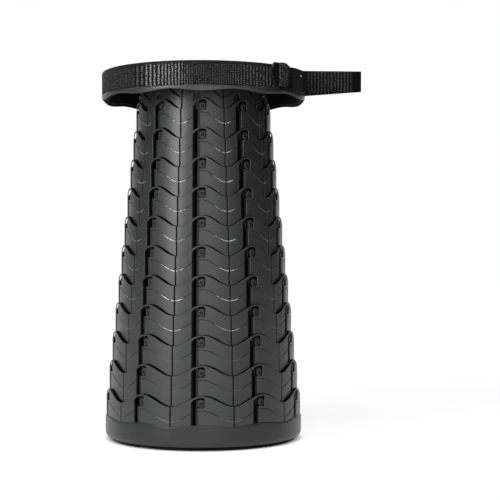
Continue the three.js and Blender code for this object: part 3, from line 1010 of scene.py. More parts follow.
# A lug: a block with a round, dimpled knob on its face
def ringLug(bm, number):
    root = ringRadius(number) - lug["root"]
    tip = ringRadius(number - 1) - lug["tipGap"]
    face = tip - lug["knobHeight"]
    line = column["latchAzimuth"] * degree
    low, high = lug["foot"], lug["foot"] + lug["height"]
    left, right = lug["left"], lug["left"] + lug["width"]
    corners = [(left, low), (right, low), (right, high), (left, high)]
    outline = roundOutline([(x, y, lug["rounding"]) for x, y in corners])
    middle = Vector(((left + right) / 2, (low + high) / 2))
    bevel, knob, dimple = lug["bevel"], lug["knob"], lug["dimple"]
    inwards, down = lug["knobRound"]
    top = knob - inwards
    hollow = top - lug["rim"]
    levels = [            # distance from the axis, and radius where the outline is a circle
        (root, None), (face - bevel, None), (face - bevel * 0.3, None),
        (face, knob + lug["knobFoot"]), (tip - down, knob), (tip, top), (tip - 0.1, hollow),
        (tip - dimple * 0.7, hollow - lug["dimpleRound"]), (tip - dimple, lug["dimpleFloor"]),
    ]
    shade = bm.verts.layers.float["shade"]
    rows = []
    for (distance, disc), value in zip(levels, lug["shades"]):
        row = []
        for point in outline:
            away = point - middle
            scaled = middle + (away.normalized() * disc if disc else away)
            azimuth = line + math.asin(scaled.x / distance)
            place = outward(azimuth) * distance + Vector((0, 0, scaled.y))
            vertex = bm.verts.new(place * mm)
            vertex[shade] = value
            row.append(vertex)
        rows.append(row)
    stitch(bm, rows, flip=True)
    bm.faces.new(rows[-1])
    bm.faces.new(rows[0][::-1])


# The neck of the smallest ring, which rises behind its wavy edge to the seat
def ringNeck(bm, number, recess):
    radius = ringRadius(number)
    left, right = seams(radius)
    corners = ((left, 0), (right, 0), (right, crestHeight), (left, crestHeight))
    border = [Vector(corner) for corner in corners]
    shoulder = lambda along: shortRing["crest"] - waveDrop(along / radius)
    lines = uprightLines(radius, lambda along: crestHeight)
    lines += gapLines(radius, shoulder)
    lines.append(recess + recess[:1])

    # painted shadow over the shoulder's edge, painted shade in the recess and the groove
    def dropAt(point):
        groove = grooveAt(point.x, radius)
        above = point.y - shoulder(point.x)
        dark = gapShade(above, point.x / radius, radius) if above > -1 else 0.0
        if inside(recess, point.x, point.y) or distanceTo(recess, point) < 0.01:
            dark = max(dark, shortRing["recessShade"])
        drop = shortRing["neckInset"] + groove * column["grooveDepth"]
        return drop, max(groove, dark)

    rollShell(bm, border, [], lines, radius, column["wall"], dropAt)


def buildRing(number):
    bm = newShape()
    radius = ringRadius(number)
    if number < ringCount:
        ringSkin(bm, number, crestHeight, latchOpening(radius, crestHeight))
        ringLiner(bm, number, crestHeight)
    else:
        slot = plainSlot(radius)
        ringSkin(bm, number, shortRing["crest"], slot)
        ringNeck(bm, number, slot)
    if number > 1:
        ringLug(bm, number)
    bmesh.ops.translate(bm, verts=bm.verts, vec=(0, 0, ringFoot(number) * mm))
    node = "base_ring" if number == 1 else f"ring_{number:02d}"
    wall = objectFrom(bm, f"{node}_wall")
    useTree(wall, around, Copies=column["waves"], Material=ringPlastic)
    makePlain(wall)
    # the painted glints are brighter at some valleys than at others, and fainter on the lowest
    # rings
    glintAndMatt = wall.data.attributes["glintAndMatt"].data
    for face in wall.data.polygons:
        if glintAndMatt[face.index].value > 0:
            turn = math.atan2(face.center.x, -face.center.y) - crest - waveAngle / 2
            share = column["valleyGlints"][round(turn / waveAngle) % column["waves"]]
            glintAndMatt[face.index].value *= share * column["footGlints"].get(number, 1.0)
    body = {1: "base", ringCount: "seat"}.get(number, f"stage_{number:02d}")
    return settle(wall, body, ringPlastic, [node], sharpAbove=12)


for number in range(1, ringCount + 1):
    buildRing(number)
print("rings made")


# The base: collar, plate, screws and foot pads

base = {
    "collarProud": 1.1,
    "collarTop": 27.0,
    "ripple": 1.5,
    "rippleFrom": 12.0,      # height where the ripple starts
    "rippleBand": 3.0,       # of full ripple, under the top
    "collarRound": 8.0,
    "turn": (-52, -44),      # of the foot's rounding, from the part painted black to the part with the outside's painted shade
    "outsideShade": 0.3,             # painted shade of the collar's outside, which makes it darker than the rings
    "lip": 0.45,
    "tuck": 0.1,             # of the collar's inner edge into the largest ring's skin
    "chamfer": 0.4,
    # painted shade of the collar's inner rim and of the ledge
    "rimShade": 0.6,
    "ledgeShades": (0.7, 0.9),
    "flange": 5.5,
    "opening": 98.3,
    "ledge": (89.3, 3.3),    # that the plate lies against: radius and height
    "footing": 9.4,          # where the largest ring stands on the collar
    "facets": 240,
    "plateSides": 180,
}
pad = {"width": 8.0, "arc": 22.0, "cells": 14, "sunk": 0.05, "round": 0.5}
screw = {
    "count": 5,
    "circle": 93.5,
    "head": 3.4,
    "holeGap": 0.4,          # round the head in the plate
    "headTop": 1.4,
    "rim": 0.5,
    "crown": 0.93,           # the flat of the head, as a share of its radius
    "shaft": 1.6,
    "sides": 24,
    "arm": 0.45,             # half the width of the cross
    "reach": 1.9,
    "depth": 0.9,
    "taper": 0.7,
}


def ripple(azimuth):
    return base["ripple"] * math.cos(column["waves"] * (azimuth - crest))


def buildCollar():
    radius = column["radius"] + base["collarProud"]
    lip = base["lip"]
    top = base["collarTop"]
    flange = base["flange"]
    ledgeRadius, ledgeFoot = base["ledge"]
    rounding = base["collarRound"]
    inner = column["radius"] - column["skin"] + base["tuck"]
    opening, chamfer = base["opening"], base["chamfer"]
    outsideShade = base["outsideShade"]
    darkEnd, outsideStart = base["turn"]
    centre = (radius - rounding, rounding)
    # the underside and the lower foot are painted black, a painted shadow along the bottom edge
    profile = [(opening, chamfer, 0, 1), (opening + chamfer, 0, 0, 1)]
    profile += arc(centre, rounding, -90, darkEnd, 4, value=1.0)
    profile += arc(centre, rounding, outsideStart, 0, 5, value=outsideShade)
    profile += [(radius, base["rippleFrom"], 0, outsideShade), (radius, top - base["rippleBand"], 1, outsideShade)]
    profile += arc((radius - lip, top - lip), lip, 0, 90, 3, share=1, value=outsideShade)
    profile += [
        (inner, top, 1, base["rimShade"]),
        (inner, base["footing"], 0, 1),
        (column["radius"] - column["wall"], base["footing"], 0, 1),
        (column["radius"] - column["wall"], flange, 0, 1),
        (ledgeRadius, flange, 0, 1),
        (ledgeRadius, ledgeFoot, 0, base["ledgeShades"][0]),
        (opening, ledgeFoot, 0, base["ledgeShades"][1]),
    ]
    bm = newShape()
    revolve(bm, profile, base["facets"], ripple)
    collar = objectFrom(bm, "base_collar")
    return settle(collar, "base", ringPlastic)


def buildPlate():
    low, high = span("base_plate")
    border = circle((0, 0), base["opening"] - fit, base["plateSides"])
    holes = []
    for i in range(screw["count"]):
        centre = outward(2 * math.pi * i / screw["count"]) * screw["circle"]
        holes.append(circle(centre, screw["head"] + screw["holeGap"], screw["sides"]))
    flat, faces = cutPattern(border, holes)
    bm = newShape()
    shade = bm.verts.layers.float["shade"]
    bottoms = {}
    tops = {}
    for face in faces:
        for i in face:
            if i not in bottoms:
                bottoms[i] = bm.verts.new(Vector((*flat[i], low.z)) * mm)
                tops[i] = bm.verts.new(Vector((*flat[i], high.z)) * mm)
                # the plate's top, inside the base, is painted fully shaded
                tops[i][shade] = 1.0
        bm.faces.new([bottoms[i] for i in face[::-1]])
        bm.faces.new([tops[i] for i in face])
    for i, j in openEdges(faces):
        bm.faces.new((bottoms[i], bottoms[j], tops[j], tops[i]))
    plate = objectFrom(bm, "base_plate_disc")
    return settle(plate, "base", platePlastic, ["base_plate"])


# One cross-head screw, standing on its head at the front of its circle
def buildScrews():
    low, high = span("base_screw_1")
    sides = screw["sides"]
    arm, reach = screw["arm"], screw["reach"]
    bm = newShape()
    shade = bm.verts.layers.float["shade"]
    rows = []
    for radius, height in (
        (screw["head"], screw["rim"]), (screw["head"], screw["headTop"]),
        (screw["shaft"], screw["headTop"]), (screw["shaft"], high.z - low.z),
    ):
        ring = circle((0, 0), radius, sides)
        rows.append([bm.verts.new(Vector((*p, height)) * mm) for p in ring])
    stitch(bm, rows, flip=True)
    bm.faces.new(rows[-1])
    crown = [p * screw["crown"] for p in circle((0, 0), screw["head"], sides)]
    quarter = [Vector((-arm, reach)), Vector((arm, reach)), Vector((arm, arm))]
    cross = []
    for _ in range(4):
        cross += quarter
        quarter = [Vector((p.y, -p.x)) for p in quarter]
    flat, faces = cutPattern(crown, [cross])
    head = [bm.verts.new(Vector((*p, 0)) * mm) for p in flat]
    for face in faces:
        bm.faces.new([head[i] for i in face[::-1]])
    floor = [bm.verts.new(Vector((*p * screw["taper"], screw["depth"])) * mm) for p in cross]
    # the bottom of the cross is painted fully shaded
    for vertex in floor:
        vertex[shade] = 1.0
    bm.faces.new(floor)
    stitch(bm, (rows[0], head[:sides]))
    stitch(bm, (head[sides:], floor))
    bmesh.ops.recalc_face_normals(bm, faces=bm.faces)
    place = Vector((0, -screw["circle"], low.z)) * mm
    bmesh.ops.translate(bm, verts=bm.verts, vec=place)
    screws = objectFrom(bm, "base_screws")
    useTree(screws, around, Copies=screw["count"], Join=0.0, Material=steel)
    makePlain(screws)
    nodes = [f"base_screw_{i + 1}" for i in range(screw["count"])]
    return settle(screws, "base", steel, nodes)


# One rubber arc under the collar, below the valley right of the front
def buildPads():
    low = span("foot_pad_01")[0].z
    outer = column["radius"] + base["collarProud"] - base["collarRound"]
    inner = outer - pad["width"]
    r = pad["round"]
    valley = crest + waveAngle / 2
    half = pad["arc"] * degree / 2
    section = [
        (outer - r, low), (outer, low + r), (outer, pad["sunk"]),
        (inner, pad["sunk"]), (inner, low + r), (inner + r, low)]
    bm = newShape()
    rows = [
        [bm.verts.new((outward(turn) * x + Vector((0, 0, z))) * mm) for x, z in section]
        for turn in frange(valley - half, valley + half, pad["cells"])]
    stitch(bm, rows)
    bm.faces.new(rows[0])
    bm.faces.new(rows[-1][::-1])
    bmesh.ops.recalc_face_normals(bm, faces=bm.faces)
    pads = objectFrom(bm, "foot_pads")
    useTree(pads, around, Copies=column["waves"], Join=0.0, Material=footRubber)
    makePlain(pads)
    nodes = [f"foot_pad_{i + 1:02d}" for i in range(column["waves"])]
    return settle(pads, "base", footRubber, nodes)


buildCollar()
buildPlate()
buildScrews()
buildPads()
print("base made")


# The seat and its finger cap

seat = {
    "lipHeight": 3.0,
    "lipRound": 2.6,
    # painted shade on the lip's rounding, and on the step down to the face
    "lipShade": 0.8,
    "rimSteps": (0.8, 1.3, 2.2),     # from the lip's rounding inwards and down to the face
    "rimShade": 0.2,
    "faceDrop": 0.25,
    "grooveRadius": 123.6,
    "beltRadius": 125.5,
    "grooveHeight": 25.6,
    # the groove's bevels get painted shade
    "grooveBevel": 0.3,
    "bevelShade": 0.3,
    "flange": 5.5,
    "bulge": 0.35,
    "bulgeAt": (0.35, 0.6, 0.85),    # heights of the bulge's points, as shares of the skirt
    "edgeRound": 1.2,
    "edgeTurn": (-54, -36),  # of the edge's rounding, from its part with dark painted shade to its part with little
    "edgeShades": (0.85, 0.15),
    "innerRadius": 121.0,
    "bead": 3.0,
    "beadStep": 0.8,
    "beadBevel": 0.4,
    "insideShades": (0.8, 0.9, 0.7, 0.9, 0.9),   # painted shade of the skirt's inside, from the top down
    "plate": 2.8,
    "spigot": (75.9, 73.4, 18.0),
    "mouth": (0.5, 0.6, 0.7),    # bevel inwards and down where the cap lies, and its painted shade
    "capRadius": 45.0,
    "capFlange": 1.3,
    "capLedge": 3.3,
    "capSkirt": 3.0,
    "capBevels": (0.5, 0.3),     # at the foot and at the top
    "capSides": 120,
    "wellRadius": 13.25,
    "wellWall": 2.0,
    "wellDepth": 35.0,
    "wellSpacing": 54.0,
    "wellLip": 1.0,
    "wellSides": 48,
    # the rounded foot of a well's cup and of its hole: steps inwards and up
    "cupFoot": ((2.0, 0.0), (0.6, 0.6), (0.0, 2.0)),
    "holeFoot": ((2.5, 0.0), (0.8, 0.8), (0.0, 2.5)),
}
underside = seatTop - seat["plate"]


def buildSeat():
    top = seatTop
    outer = seat["beltRadius"]
    lipBottom = top - seat["lipHeight"]
    grooveBottom = lipBottom - seat["grooveHeight"]
    edge = grooveBottom - seat["flange"]
    rounding = seat["edgeRound"]
    inner = seat["innerRadius"]
    spigotOuter, spigotInner, spigotDepth = seat["spigot"]
    capRadius = seat["capRadius"] + fit
    ledge = capRadius - seat["capLedge"]
    ledgeTop = top - seat["capFlange"] - fit
    profile = [
        (ledge, underside, 0, 1),
        (spigotInner, underside, 0, 1),
        (spigotInner, underside - spigotDepth, 0, 1),
        (spigotOuter, underside - spigotDepth, 0, 1),
        (spigotOuter, underside, 0, 1),
    ]
    bead, step, bevel = edge + seat["bead"], seat["beadStep"], seat["beadBevel"]
    skirt = (
        (inner, underside, 0), (inner, bead + step, -1), (inner + step, bead, -1),
        (inner + step, edge + bevel, -1), (inner + step + bevel, edge, -1))
    profile += [(*place, value) for place, value in zip(skirt, seat["insideShades"])]
    corner = (outer - rounding, edge + rounding)
    darkEnd, lightStart = seat["edgeTurn"]
    dark, light = seat["edgeShades"]
    profile += arc(corner, rounding, -90, darkEnd, 2, share=-1, value=dark)
    profile += arc(corner, rounding, lightStart, 0, 2, share=-1, value=light)
    for share in seat["bulgeAt"]:
        swell = seat["bulge"] * math.sin(math.pi * share)
        low = edge + rounding
        profile.append((outer + swell, low + (grooveBottom - low) * share, share - 1, 0))
    bevel, dark = seat["grooveBevel"], seat["bevelShade"]
    profile += [
        (outer, grooveBottom - bevel, 0, 0),
        (outer - bevel, grooveBottom, 0, dark),
        (seat["grooveRadius"], grooveBottom, 0, 1),
        (seat["grooveRadius"], lipBottom, 0, 1),
        (outer - bevel, lipBottom, 0, dark),
        (outer, lipBottom + bevel, 0, 0),
    ]
    r = seat["lipRound"]
    rim = outer - r
    face = top - seat["faceDrop"]
    flatEnd, slopeEnd, faceStart = seat["rimSteps"]
    across, down, dark = seat["mouth"]
    profile += arc((rim, top - r), r, 0, 90, 7, value=seat["lipShade"])
    profile += [
        (rim - flatEnd, top, 0, 0),
        (rim - slopeEnd, face, 0, seat["rimShade"]),
        (rim - faceStart, face, 0, 0),
        ((outer + capRadius) / 2, face, 0, 0),
        (capRadius + across, face, 0, 0),
        (capRadius, top - down, 0, dark),
        (capRadius, ledgeTop, 0, 1),
        (ledge, ledgeTop, 0, 1),
    ]
    bm = newShape()
    revolve(bm, profile, base["facets"], ripple)
    shell = objectFrom(bm, "seat_shell")
    glintAndMatt = shell.data.attributes["glintAndMatt"].data
    for polygon in shell.data.polygons:     # the face is matt, the skirt has a sheen
        isTop = polygon.normal.z > 0.9 and polygon.center.z > (top - 1) * mm
        glintAndMatt[polygon.index].value = float(isTop)
    return settle(shell, "seat", seatPlastic, ["seat_top"])


# A solid of revolution from a profile of (radius, height) that starts and ends on its axis
def latheSolid(name, profile, sides, centre=(0, 0)):
    bm = newShape()
    rows = []
    for radius, height in profile:
        ring = circle(centre, radius, sides) if radius else [Vector(centre)]
        rows.append([bm.verts.new(Vector((*p, height)) * mm) for p in ring])
    for lower, upper in zip(rows, rows[1:]):
        for i in range(sides):
            j = (i + 1) % sides
            corners = [row[k % len(row)] for row, k in (
                (lower, i), (lower, j), (upper, j), (upper, i))]
            bm.faces.new([v for k, v in enumerate(corners) if v not in corners[:k]])
    bmesh.ops.recalc_face_normals(bm, faces=bm.faces)
    return objectFrom(bm, name)


def buildCap():
    top = seatTop
    radius = seat["capRadius"]
    body = radius - seat["capLedge"]
    foot = underside - seat["capSkirt"]
    flange = top - seat["capFlange"]
    low, high = seat["capBevels"]
    cap = latheSolid("finger_cap_disc", [
        (0, foot), (body - low, foot), (body, foot + low), (body, flange), (radius, flange),
        (radius, top - high), (radius - high, top), (0, top)], seat["capSides"])
    well = seat["wellRadius"]
    outer = well + seat["wellWall"]
    floor = top - seat["wellDepth"]
    cupFloor = floor - seat["wellWall"]
    lip = seat["wellLip"]
    quarter = frange(0, math.pi / 2, 4)
    mouth = [
        (well + lip * (1 - math.cos(t)), top - lip + lip * math.sin(t)) for t in quarter]
    cupProfile = [
        (0, cupFloor), *((outer - x, cupFloor + z) for x, z in seat["cupFoot"]),
        (outer, foot + 1), (0, foot + 1)]
    holeProfile = [
        (0, floor), *((well - x, floor + z) for x, z in seat["holeFoot"]),
        *mouth, (well + lip, top + 2), (0, top + 2)]
    tools = []
    for operation, name, profile in (
        ("UNION", "cup", cupProfile), ("DIFFERENCE", "hole", holeProfile),
    ):
        for side in (-1, 1):
            centre = (side * seat["wellSpacing"] / 2, 0)
            tool = latheSolid(name, profile, seat["wellSides"], centre)
            tools.append(tool)
            modifier = cap.modifiers.new(name, "BOOLEAN")
            modifier.operation = operation
            modifier.solver = "EXACT"
            modifier.object = tool
    makePlain(cap)
    for tool in tools:
        bpy.data.objects.remove(tool)
    # the wells are painted darker the deeper they go
    shade = cap.data.attributes["shade"]
    for vertex, item in zip(cap.data.vertices, shade.data):
        depth = top - 1 - vertex.co.z / mm
        item.value = rise(depth, 0, seat["wellDepth"])
    return settle(cap, "seat", capPlastic, ["finger_cap"])


buildSeat()
buildCap()
print("seat made")


# Belt, carry loop, slider and rivet

belt = {
    "inner": 123.9,
    "thickness": 1.6,
    "width": 25.0,
    "selvage": 1.3,
    "round": 0.35,           # at the band's upper and lower edge
    "fieldRows": 8,
    "step": 0.55,            # length of one cell along the band
    "fullRib": 0.36,         # height at which the ribs hide the dotted weave
    "selvageSwell": 0.55,    # as a share of the ribs' height
    # painted shade of the selvages and of the band's edges
    "selvageShade": 0.3,
    "edgeShade": 0.8,
    "ribRound": 0.7,
    "valleySoft": 0.6,
    "darkRib": 0.3,          # height from which the valleys' painted shade is full
    # azimuth, rib pitch, rib height, from the back round the left side to the back again
    "ribs": (
        (-180, 4.2, 0.20),
        (-75, 5.0, 0.045),
        (-41, 6.0, 0.045),
        (-39, 7.0, 0.13),
        (-34, 6.5, 0.15),
        (-31.5, 5.6, 0.42),
        (-25, 5.2, 0.42),
        (-21, 4.1, 0.42),
        (-14, 3.9, 0.40),
        (-10, 3.0, 0.20),
        (-5, 2.6, 0.12),
        (13, 2.6, 0.12),
        (18, 3.4, 0.17),
        (25, 4.2, 0.20),
        (36, 4.8, 0.22),
        (42, 5.5, 0.20),
        (180, 4.2, 0.20),
    ),
}
overlayRise = 2.6            # how much higher than the belt slider and loop sit
loop = {
    "root": 70.0,
    "rear": 95.0,
    "tab": 14.0,
    "tail": 10.0,
    "rise": 4.8,
    "rootFold": 3.0,
    "endFold": 3.5,
    "reach": 71.1,
    "pitch": 4.8,
    "rib": 0.36,
    "rootFade": (1, 6),      # from the root fold, where the ribs rise
    "endFade": (7, 12),      # to the end fold, where they stop
    "rootRib": 0.1,
    "leanLength": 45.0,
    "lean": 0.9,
}
slider = {
    "azimuth": 46.2,
    "length": 37.0,
    "height": 30.0,
    "thickness": 2.2,
    "endBar": 5.3,
    "pullBar": 10.5,
    "midBar": 5.0,
    "slotClearance": 0.6,
    # how sharply the two outer edges curve, and the height of each curve's middle
    "pullBow": (0.034, 2.5),
    "endBow": (0.008, -8.0),
    "cut": 6.5,                  # the end bar's upper corner
    "corners": (1.4, 0, 1.8, 1.4),
    "bowCells": 14,
    "bevel": 0.75,
    "glintFaces": (-0.25, 0.2),     # faces turned at least this far to the left and outwards get a painted highlight
}
fold = {
    "pitch": 3.0,
    "crown": 4.6,            # of the webbing over the slider's middle bar, from the belt
    "hover": 0.2,            # of its ends over the belt
    "spread": 0.09,
    "lift": 1.2,
    "tilt": 1.4,             # how much higher its upper left corner stands
    "lump": 0.5,
    "lighter": 0.75,            # how light its threads are on the whole, 0 to 1
    "inset": 0.7,            # of its ends in the slider's two slots
    "cells": (44, 34),
    "creases": ((0.12, 0.08, 0.5), (-0.45, 0.1, 0.3)),   # place, width, depth
    # noise of the lumps and of the worn specks: how dense along and across, and its place
    "lumps": (3.2, 0.24, 3.1),
    "specks": (7.0, 0.7, 9.0),
    "speckle": 1.5,
    "shades": (0.7, 0.5, 0.9),   # strength of the painted shade in the creases, of the painted light and shade on the lumps and dents, and of the painted shade at the ends
    "edgeDrop": 0.9,
    "sheet": 0.9,
}
rivet = {
    "drop": 5.0,
    "inset": 3.0,
    "profile": ((0, 0), (1.2, 0), (1.2, 0.3), (1.02, 0.7), (0.6, 0.95), (0, 1.0)),
    "sides": 24,
}
strapLow, strapHigh = span("strap")
beltTop = strapHigh.z
beltBottom = strapLow.z
beltOuter = belt["inner"] + belt["thickness"]
overlayMiddle = (beltTop + beltBottom) / 2 + overlayRise


# Values between the rows of a table, with a soft start and end at each row
def between(table, x):
    for before, after in zip(table, table[1:]):
        if x <= after[0]:
            t = (x - before[0]) / (after[0] - before[0])
            t = t * t * (3 - 2 * t)
            return [a + (b - a) * t for a, b in zip(before[1:], after[1:])]


# A rib's cross section: round on top, with a narrow valley between two ribs
def ribShape(phase):
    return abs(math.sin(math.pi * phase)) ** belt["ribRound"]


# Heights over a band's lower edge: a round edge and a selvage at both sides, ribs between them
def bandHeights():
    width, selvage, edge = belt["width"], belt["selvage"], belt["round"]
    field = selvage + 1.6
    lower = [0, edge, selvage, selvage + 0.5]
    return lower + frange(field, width - field, belt["fieldRows"]) + [
        width - selvage - 0.5, width - selvage, width - edge, width]


# What a band's face does at a height: how far it swells, and its painted shade, dark in the
# valleys between the ribs and at the edges
def bandFace(height, phase, rib):
    slack = 0.01
    fromEdge = min(height, belt["width"] - height)
    if fromEdge > belt["selvage"] + slack:
        shape = ribShape(phase)
        dark = (1 - shape) ** belt["valleySoft"] * min(1.0, rib / belt["darkRib"])
        return rib * shape, dark
    if fromEdge > belt["round"] - slack:
        return rib * belt["selvageSwell"], belt["selvageShade"]
    return 0.0, belt["edgeShade"]


# A band along a path: stations of (point, outward normal, distance, phase, rib height)
def band(bm, stations, closed, bothSides=False, lean=None):
    shade = bm.verts.layers.float["shade"]
    ribs = bm.verts.layers.float.new("ribs")
    uv = bm.loops.layers.uv.new("band")
    heights = bandHeights()
    half = belt["thickness"] / 2
    rows = []
    for point, normal, distance, phase, rib in stations:
        outer = []
        inner = []
        for height in heights:
            tilt = lean(distance, height) if lean else 0.0
            swell, dark = bandFace(height, phase + tilt, rib)
            for row, side in ((outer, 1), (inner, -1)):
                ribbed = side > 0 or bothSides
                out = half + (swell - rib * 0.5 if ribbed else 0.0)
                place = point + normal * side * out
                up = place.z + beltBottom + height
                vertex = bm.verts.new(Vector((place.x, place.y, up)) * mm)
                vertex[shade] = dark if ribbed else belt["edgeShade"]
                vertex[ribs] = min(1.0, rib / belt["fullRib"])
                row.append(vertex)
        rows.append((outer + inner[::-1], phase))
    pairs = list(zip(rows, rows[1:]))
    if closed:
        total = stations[-1][3] + 0.1
        pairs.append((rows[-1], (rows[0][0], total)))
    levels = heights + heights[::-1]
    count = len(levels)
    for (row, a), (following, b) in pairs:
        for k in range(count):
            q = (k + 1) % count
            face = bm.faces.new((row[k], following[k], following[q], row[q]))
            places = ((a, levels[k]), (b, levels[k]), (b, levels[q]), (a, levels[q]))
            for corner, place in zip(face.loops, places):
                corner[uv].uv = place
    if not closed:
        bm.faces.new(rows[0][0])
        bm.faces.new(rows[-1][0][::-1])


def buildBelt():
    middle = belt["inner"] + belt["thickness"] / 2
    count = round(2 * math.pi * middle / belt["step"])
    stations = []
    phase = 0.0
    for i in range(count):
        azimuth = -180 + 360 * i / count
        pitch, rib = between(belt["ribs"], azimuth)
        normal = outward(azimuth * degree)
        stations.append((normal * middle, normal, i * belt["step"], phase, rib))
        phase += belt["step"] / pitch
    bm = newShape()
    band(bm, stations, True)
    piece = objectFrom(bm, "belt")
    return settle(piece, "seat", beltWebbing, ["strap"], sharpAbove=60)


# The way of a band round circles of (centre, radius). A negative radius turns clockwise.
def bandWay(circles, firstAzimuth, lastAzimuth, step):
    touches = []
    for (here, hereR), (there, thereR) in zip(circles, circles[1:]):
        line = there - here
        along = (hereR - thereR) / line.length
        across = math.sqrt(max(0.0, 1 - along * along))
        unit = line.normalized()
        normal = Vector((along * unit.x + across * unit.y, along * unit.y - across * unit.x))
        touches.append((here + normal * hereR, there + normal * thereR))
    points = []
    last = len(circles) - 1
    for i, (centre, radius) in enumerate(circles):
        size = abs(radius)
        turnOf = lambda p: math.atan2(p.y - centre.y, p.x - centre.x)
        start = firstAzimuth - math.pi / 2 if i == 0 else turnOf(touches[i - 1][1])
        end = lastAzimuth - math.pi / 2 if i == last else turnOf(touches[i][0])
        while radius > 0 and end < start:
            end += 2 * math.pi
        while radius < 0 and end > start:
            end -= 2 * math.pi
        count = max(3, round(abs(end - start) * size / step))
        points += [
            centre + Vector((math.cos(t), math.sin(t))) * size for t in frange(start, end, count)]
        if i < last:
            target = touches[i][1]
            count = round((target - points[-1]).length / step)
            points += [points[-1].lerp(target, k / count) for k in range(1, count)]
    return points


def buildLoop():
    ride = beltOuter + fit + belt["thickness"] / 2
    foldR = loop["rootFold"]
    endR = loop["endFold"]
    axis = Vector((0, 0))
    place = lambda azimuth, radius: outward(azimuth * degree).xy * radius
    end = place(90, beltOuter + loop["reach"] - belt["thickness"] / 2 - endR)
    root = place(loop["root"], ride + foldR)
    rear = place(loop["rear"], ride + foldR)
    circles = [(axis, ride), (root, -foldR), (end, endR), (rear, -foldR), (axis, ride)]
    first = (loop["root"] - loop["tab"]) * degree
    last = (loop["rear"] + loop["tail"]) * degree
    way = bandWay(circles, first, last, belt["step"])
    stations = []
    distance = 0.0
    for i, point in enumerate(way):
        before = way[max(0, i - 1)]
        after = way[min(len(way) - 1, i + 1)]
        along = (after - before).normalized()
        nearEnd = rise(end.x - point.x, *loop["endFade"])
        nearRoot = max(loop["rootRib"], rise(point.x - root.x, *loop["rootFade"]))
        lift = overlayRise + loop["rise"] * max(0.0, (point.x - root.x) / (end.x - root.x))
        stations.append((
            Vector((*point, lift)), Vector((along.y, -along.x, 0)), distance,
            distance / loop["pitch"], loop["rib"] * min(nearEnd, nearRoot)))
        distance += (after - point).length
    rootDistance = next(station[2] for station in stations if station[0].x > root.x + 1)

    # The ribs lean forward below, and stand upright again further out
    def lean(distance, height):
        share = (distance - rootDistance) / loop["leanLength"]
        if share < 0 or share > 1:
            return 0.0
        low = 1 - height / belt["width"]
        return loop["lean"] * low * low * (1 - share) ** 2

    bm = newShape()
    band(bm, stations, False, bothSides=True, lean=lean)
    piece = objectFrom(bm, "carry_loop_band")
    print(f"carry loop {distance:.0f} mm long")
    return settle(piece, "seat", loopWebbing, ["carry_loop"], sharpAbove=60)


# Turns x to the right, y up and z outwards, on the side of the stool at an azimuth
def sideFrame(azimuth):
    right = (math.cos(azimuth), math.sin(azimuth), 0)
    return Matrix((right, (0, 0, 1), outward(azimuth))).transposed()


# A flat outline with holes, given thickness and bevelled edges
def platePiece(name, border, holes, thickness, bevel):
    bm = newShape()
    flat, faces = cutPattern(border, holes)
    verts = {}
    for face in faces:
        for i in face:
            if i not in verts:
                verts[i] = bm.verts.new((*flat[i], 0))
        bm.faces.new([verts[i] for i in face])
    bmesh.ops.dissolve_limit(bm, angle_limit=0.01, verts=bm.verts, edges=bm.edges)
    top = bmesh.ops.extrude_face_region(bm, geom=list(bm.faces))
    moved = [v for v in top["geom"] if isinstance(v, bmesh.types.BMVert)]
    bmesh.ops.translate(bm, verts=moved, vec=(0, 0, thickness))
    bmesh.ops.recalc_face_normals(bm, faces=bm.faces)
    obj = objectFrom(bm, name)
    modifier = obj.modifiers.new("bevel", "BEVEL")
    modifier.width = bevel
    modifier.segments = 3
    modifier.limit_method = "ANGLE"
    modifier.angle_limit = 50 * degree
    return makePlain(obj)


def buildSlider():
    halfLength = slider["length"] / 2
    halfHeight = slider["height"] / 2
    cells = slider["bowCells"]
    pullBow, pullMiddle = slider["pullBow"]
    endBow, endMiddle = slider["endBow"]
    cut = slider["cut"]
    corners = []
    for y in frange(-halfHeight, halfHeight, cells):
        share = rise(y, halfHeight - cut, halfHeight)
        rounded = cut * (1 - math.sqrt(1 - share * share))
        corners.append((halfLength - endBow * (y - endMiddle) ** 2 - rounded, y, 0))
    for y in frange(halfHeight, -halfHeight, cells):
        corners.append((pullBow * (y - pullMiddle) ** 2 - halfLength, y, 0))
    for i, radius in zip((0, cells, cells + 1, -1), slider["corners"]):
        corners[i] = (*corners[i][:2], radius)
    border = roundOutline(corners)
    halfSlot = belt["width"] / 2 + slider["slotClearance"]
    left = slider["pullBar"] - halfLength
    right = halfLength - slider["endBar"]
    slotLength = (right - left - slider["midBar"]) / 2
    holes = []
    for start in (left, right - slotLength):
        end = start + slotLength
        slot = ((start, -halfSlot), (end, -halfSlot), (end, halfSlot), (start, halfSlot))
        holes.append(roundOutline([(x, y, 1) for x, y in slot]))
    plate = platePiece("slider_frame", border, holes, slider["thickness"], slider["bevel"])
    glintAndMatt = plate.data.attributes["glintAndMatt"].data
    leftward, upward = slider["glintFaces"]
    for face in plate.data.polygons:        # a highlight is painted on the edges that face left and outwards
        if face.normal.x < leftward and face.normal.z > upward:
            glintAndMatt[face.index].value = 1.0
    turn = sideFrame(slider["azimuth"] * degree)
    out = Vector((0, 0, beltOuter + fit))
    lift = Vector((0, 0, overlayMiddle))
    for vertex in plate.data.vertices:
        vertex.co = (turn @ (vertex.co + out) + lift) * mm
    return settle(
        plate, "seat", bucklePlastic, ["slider_buckle"], sharpAbove=40)


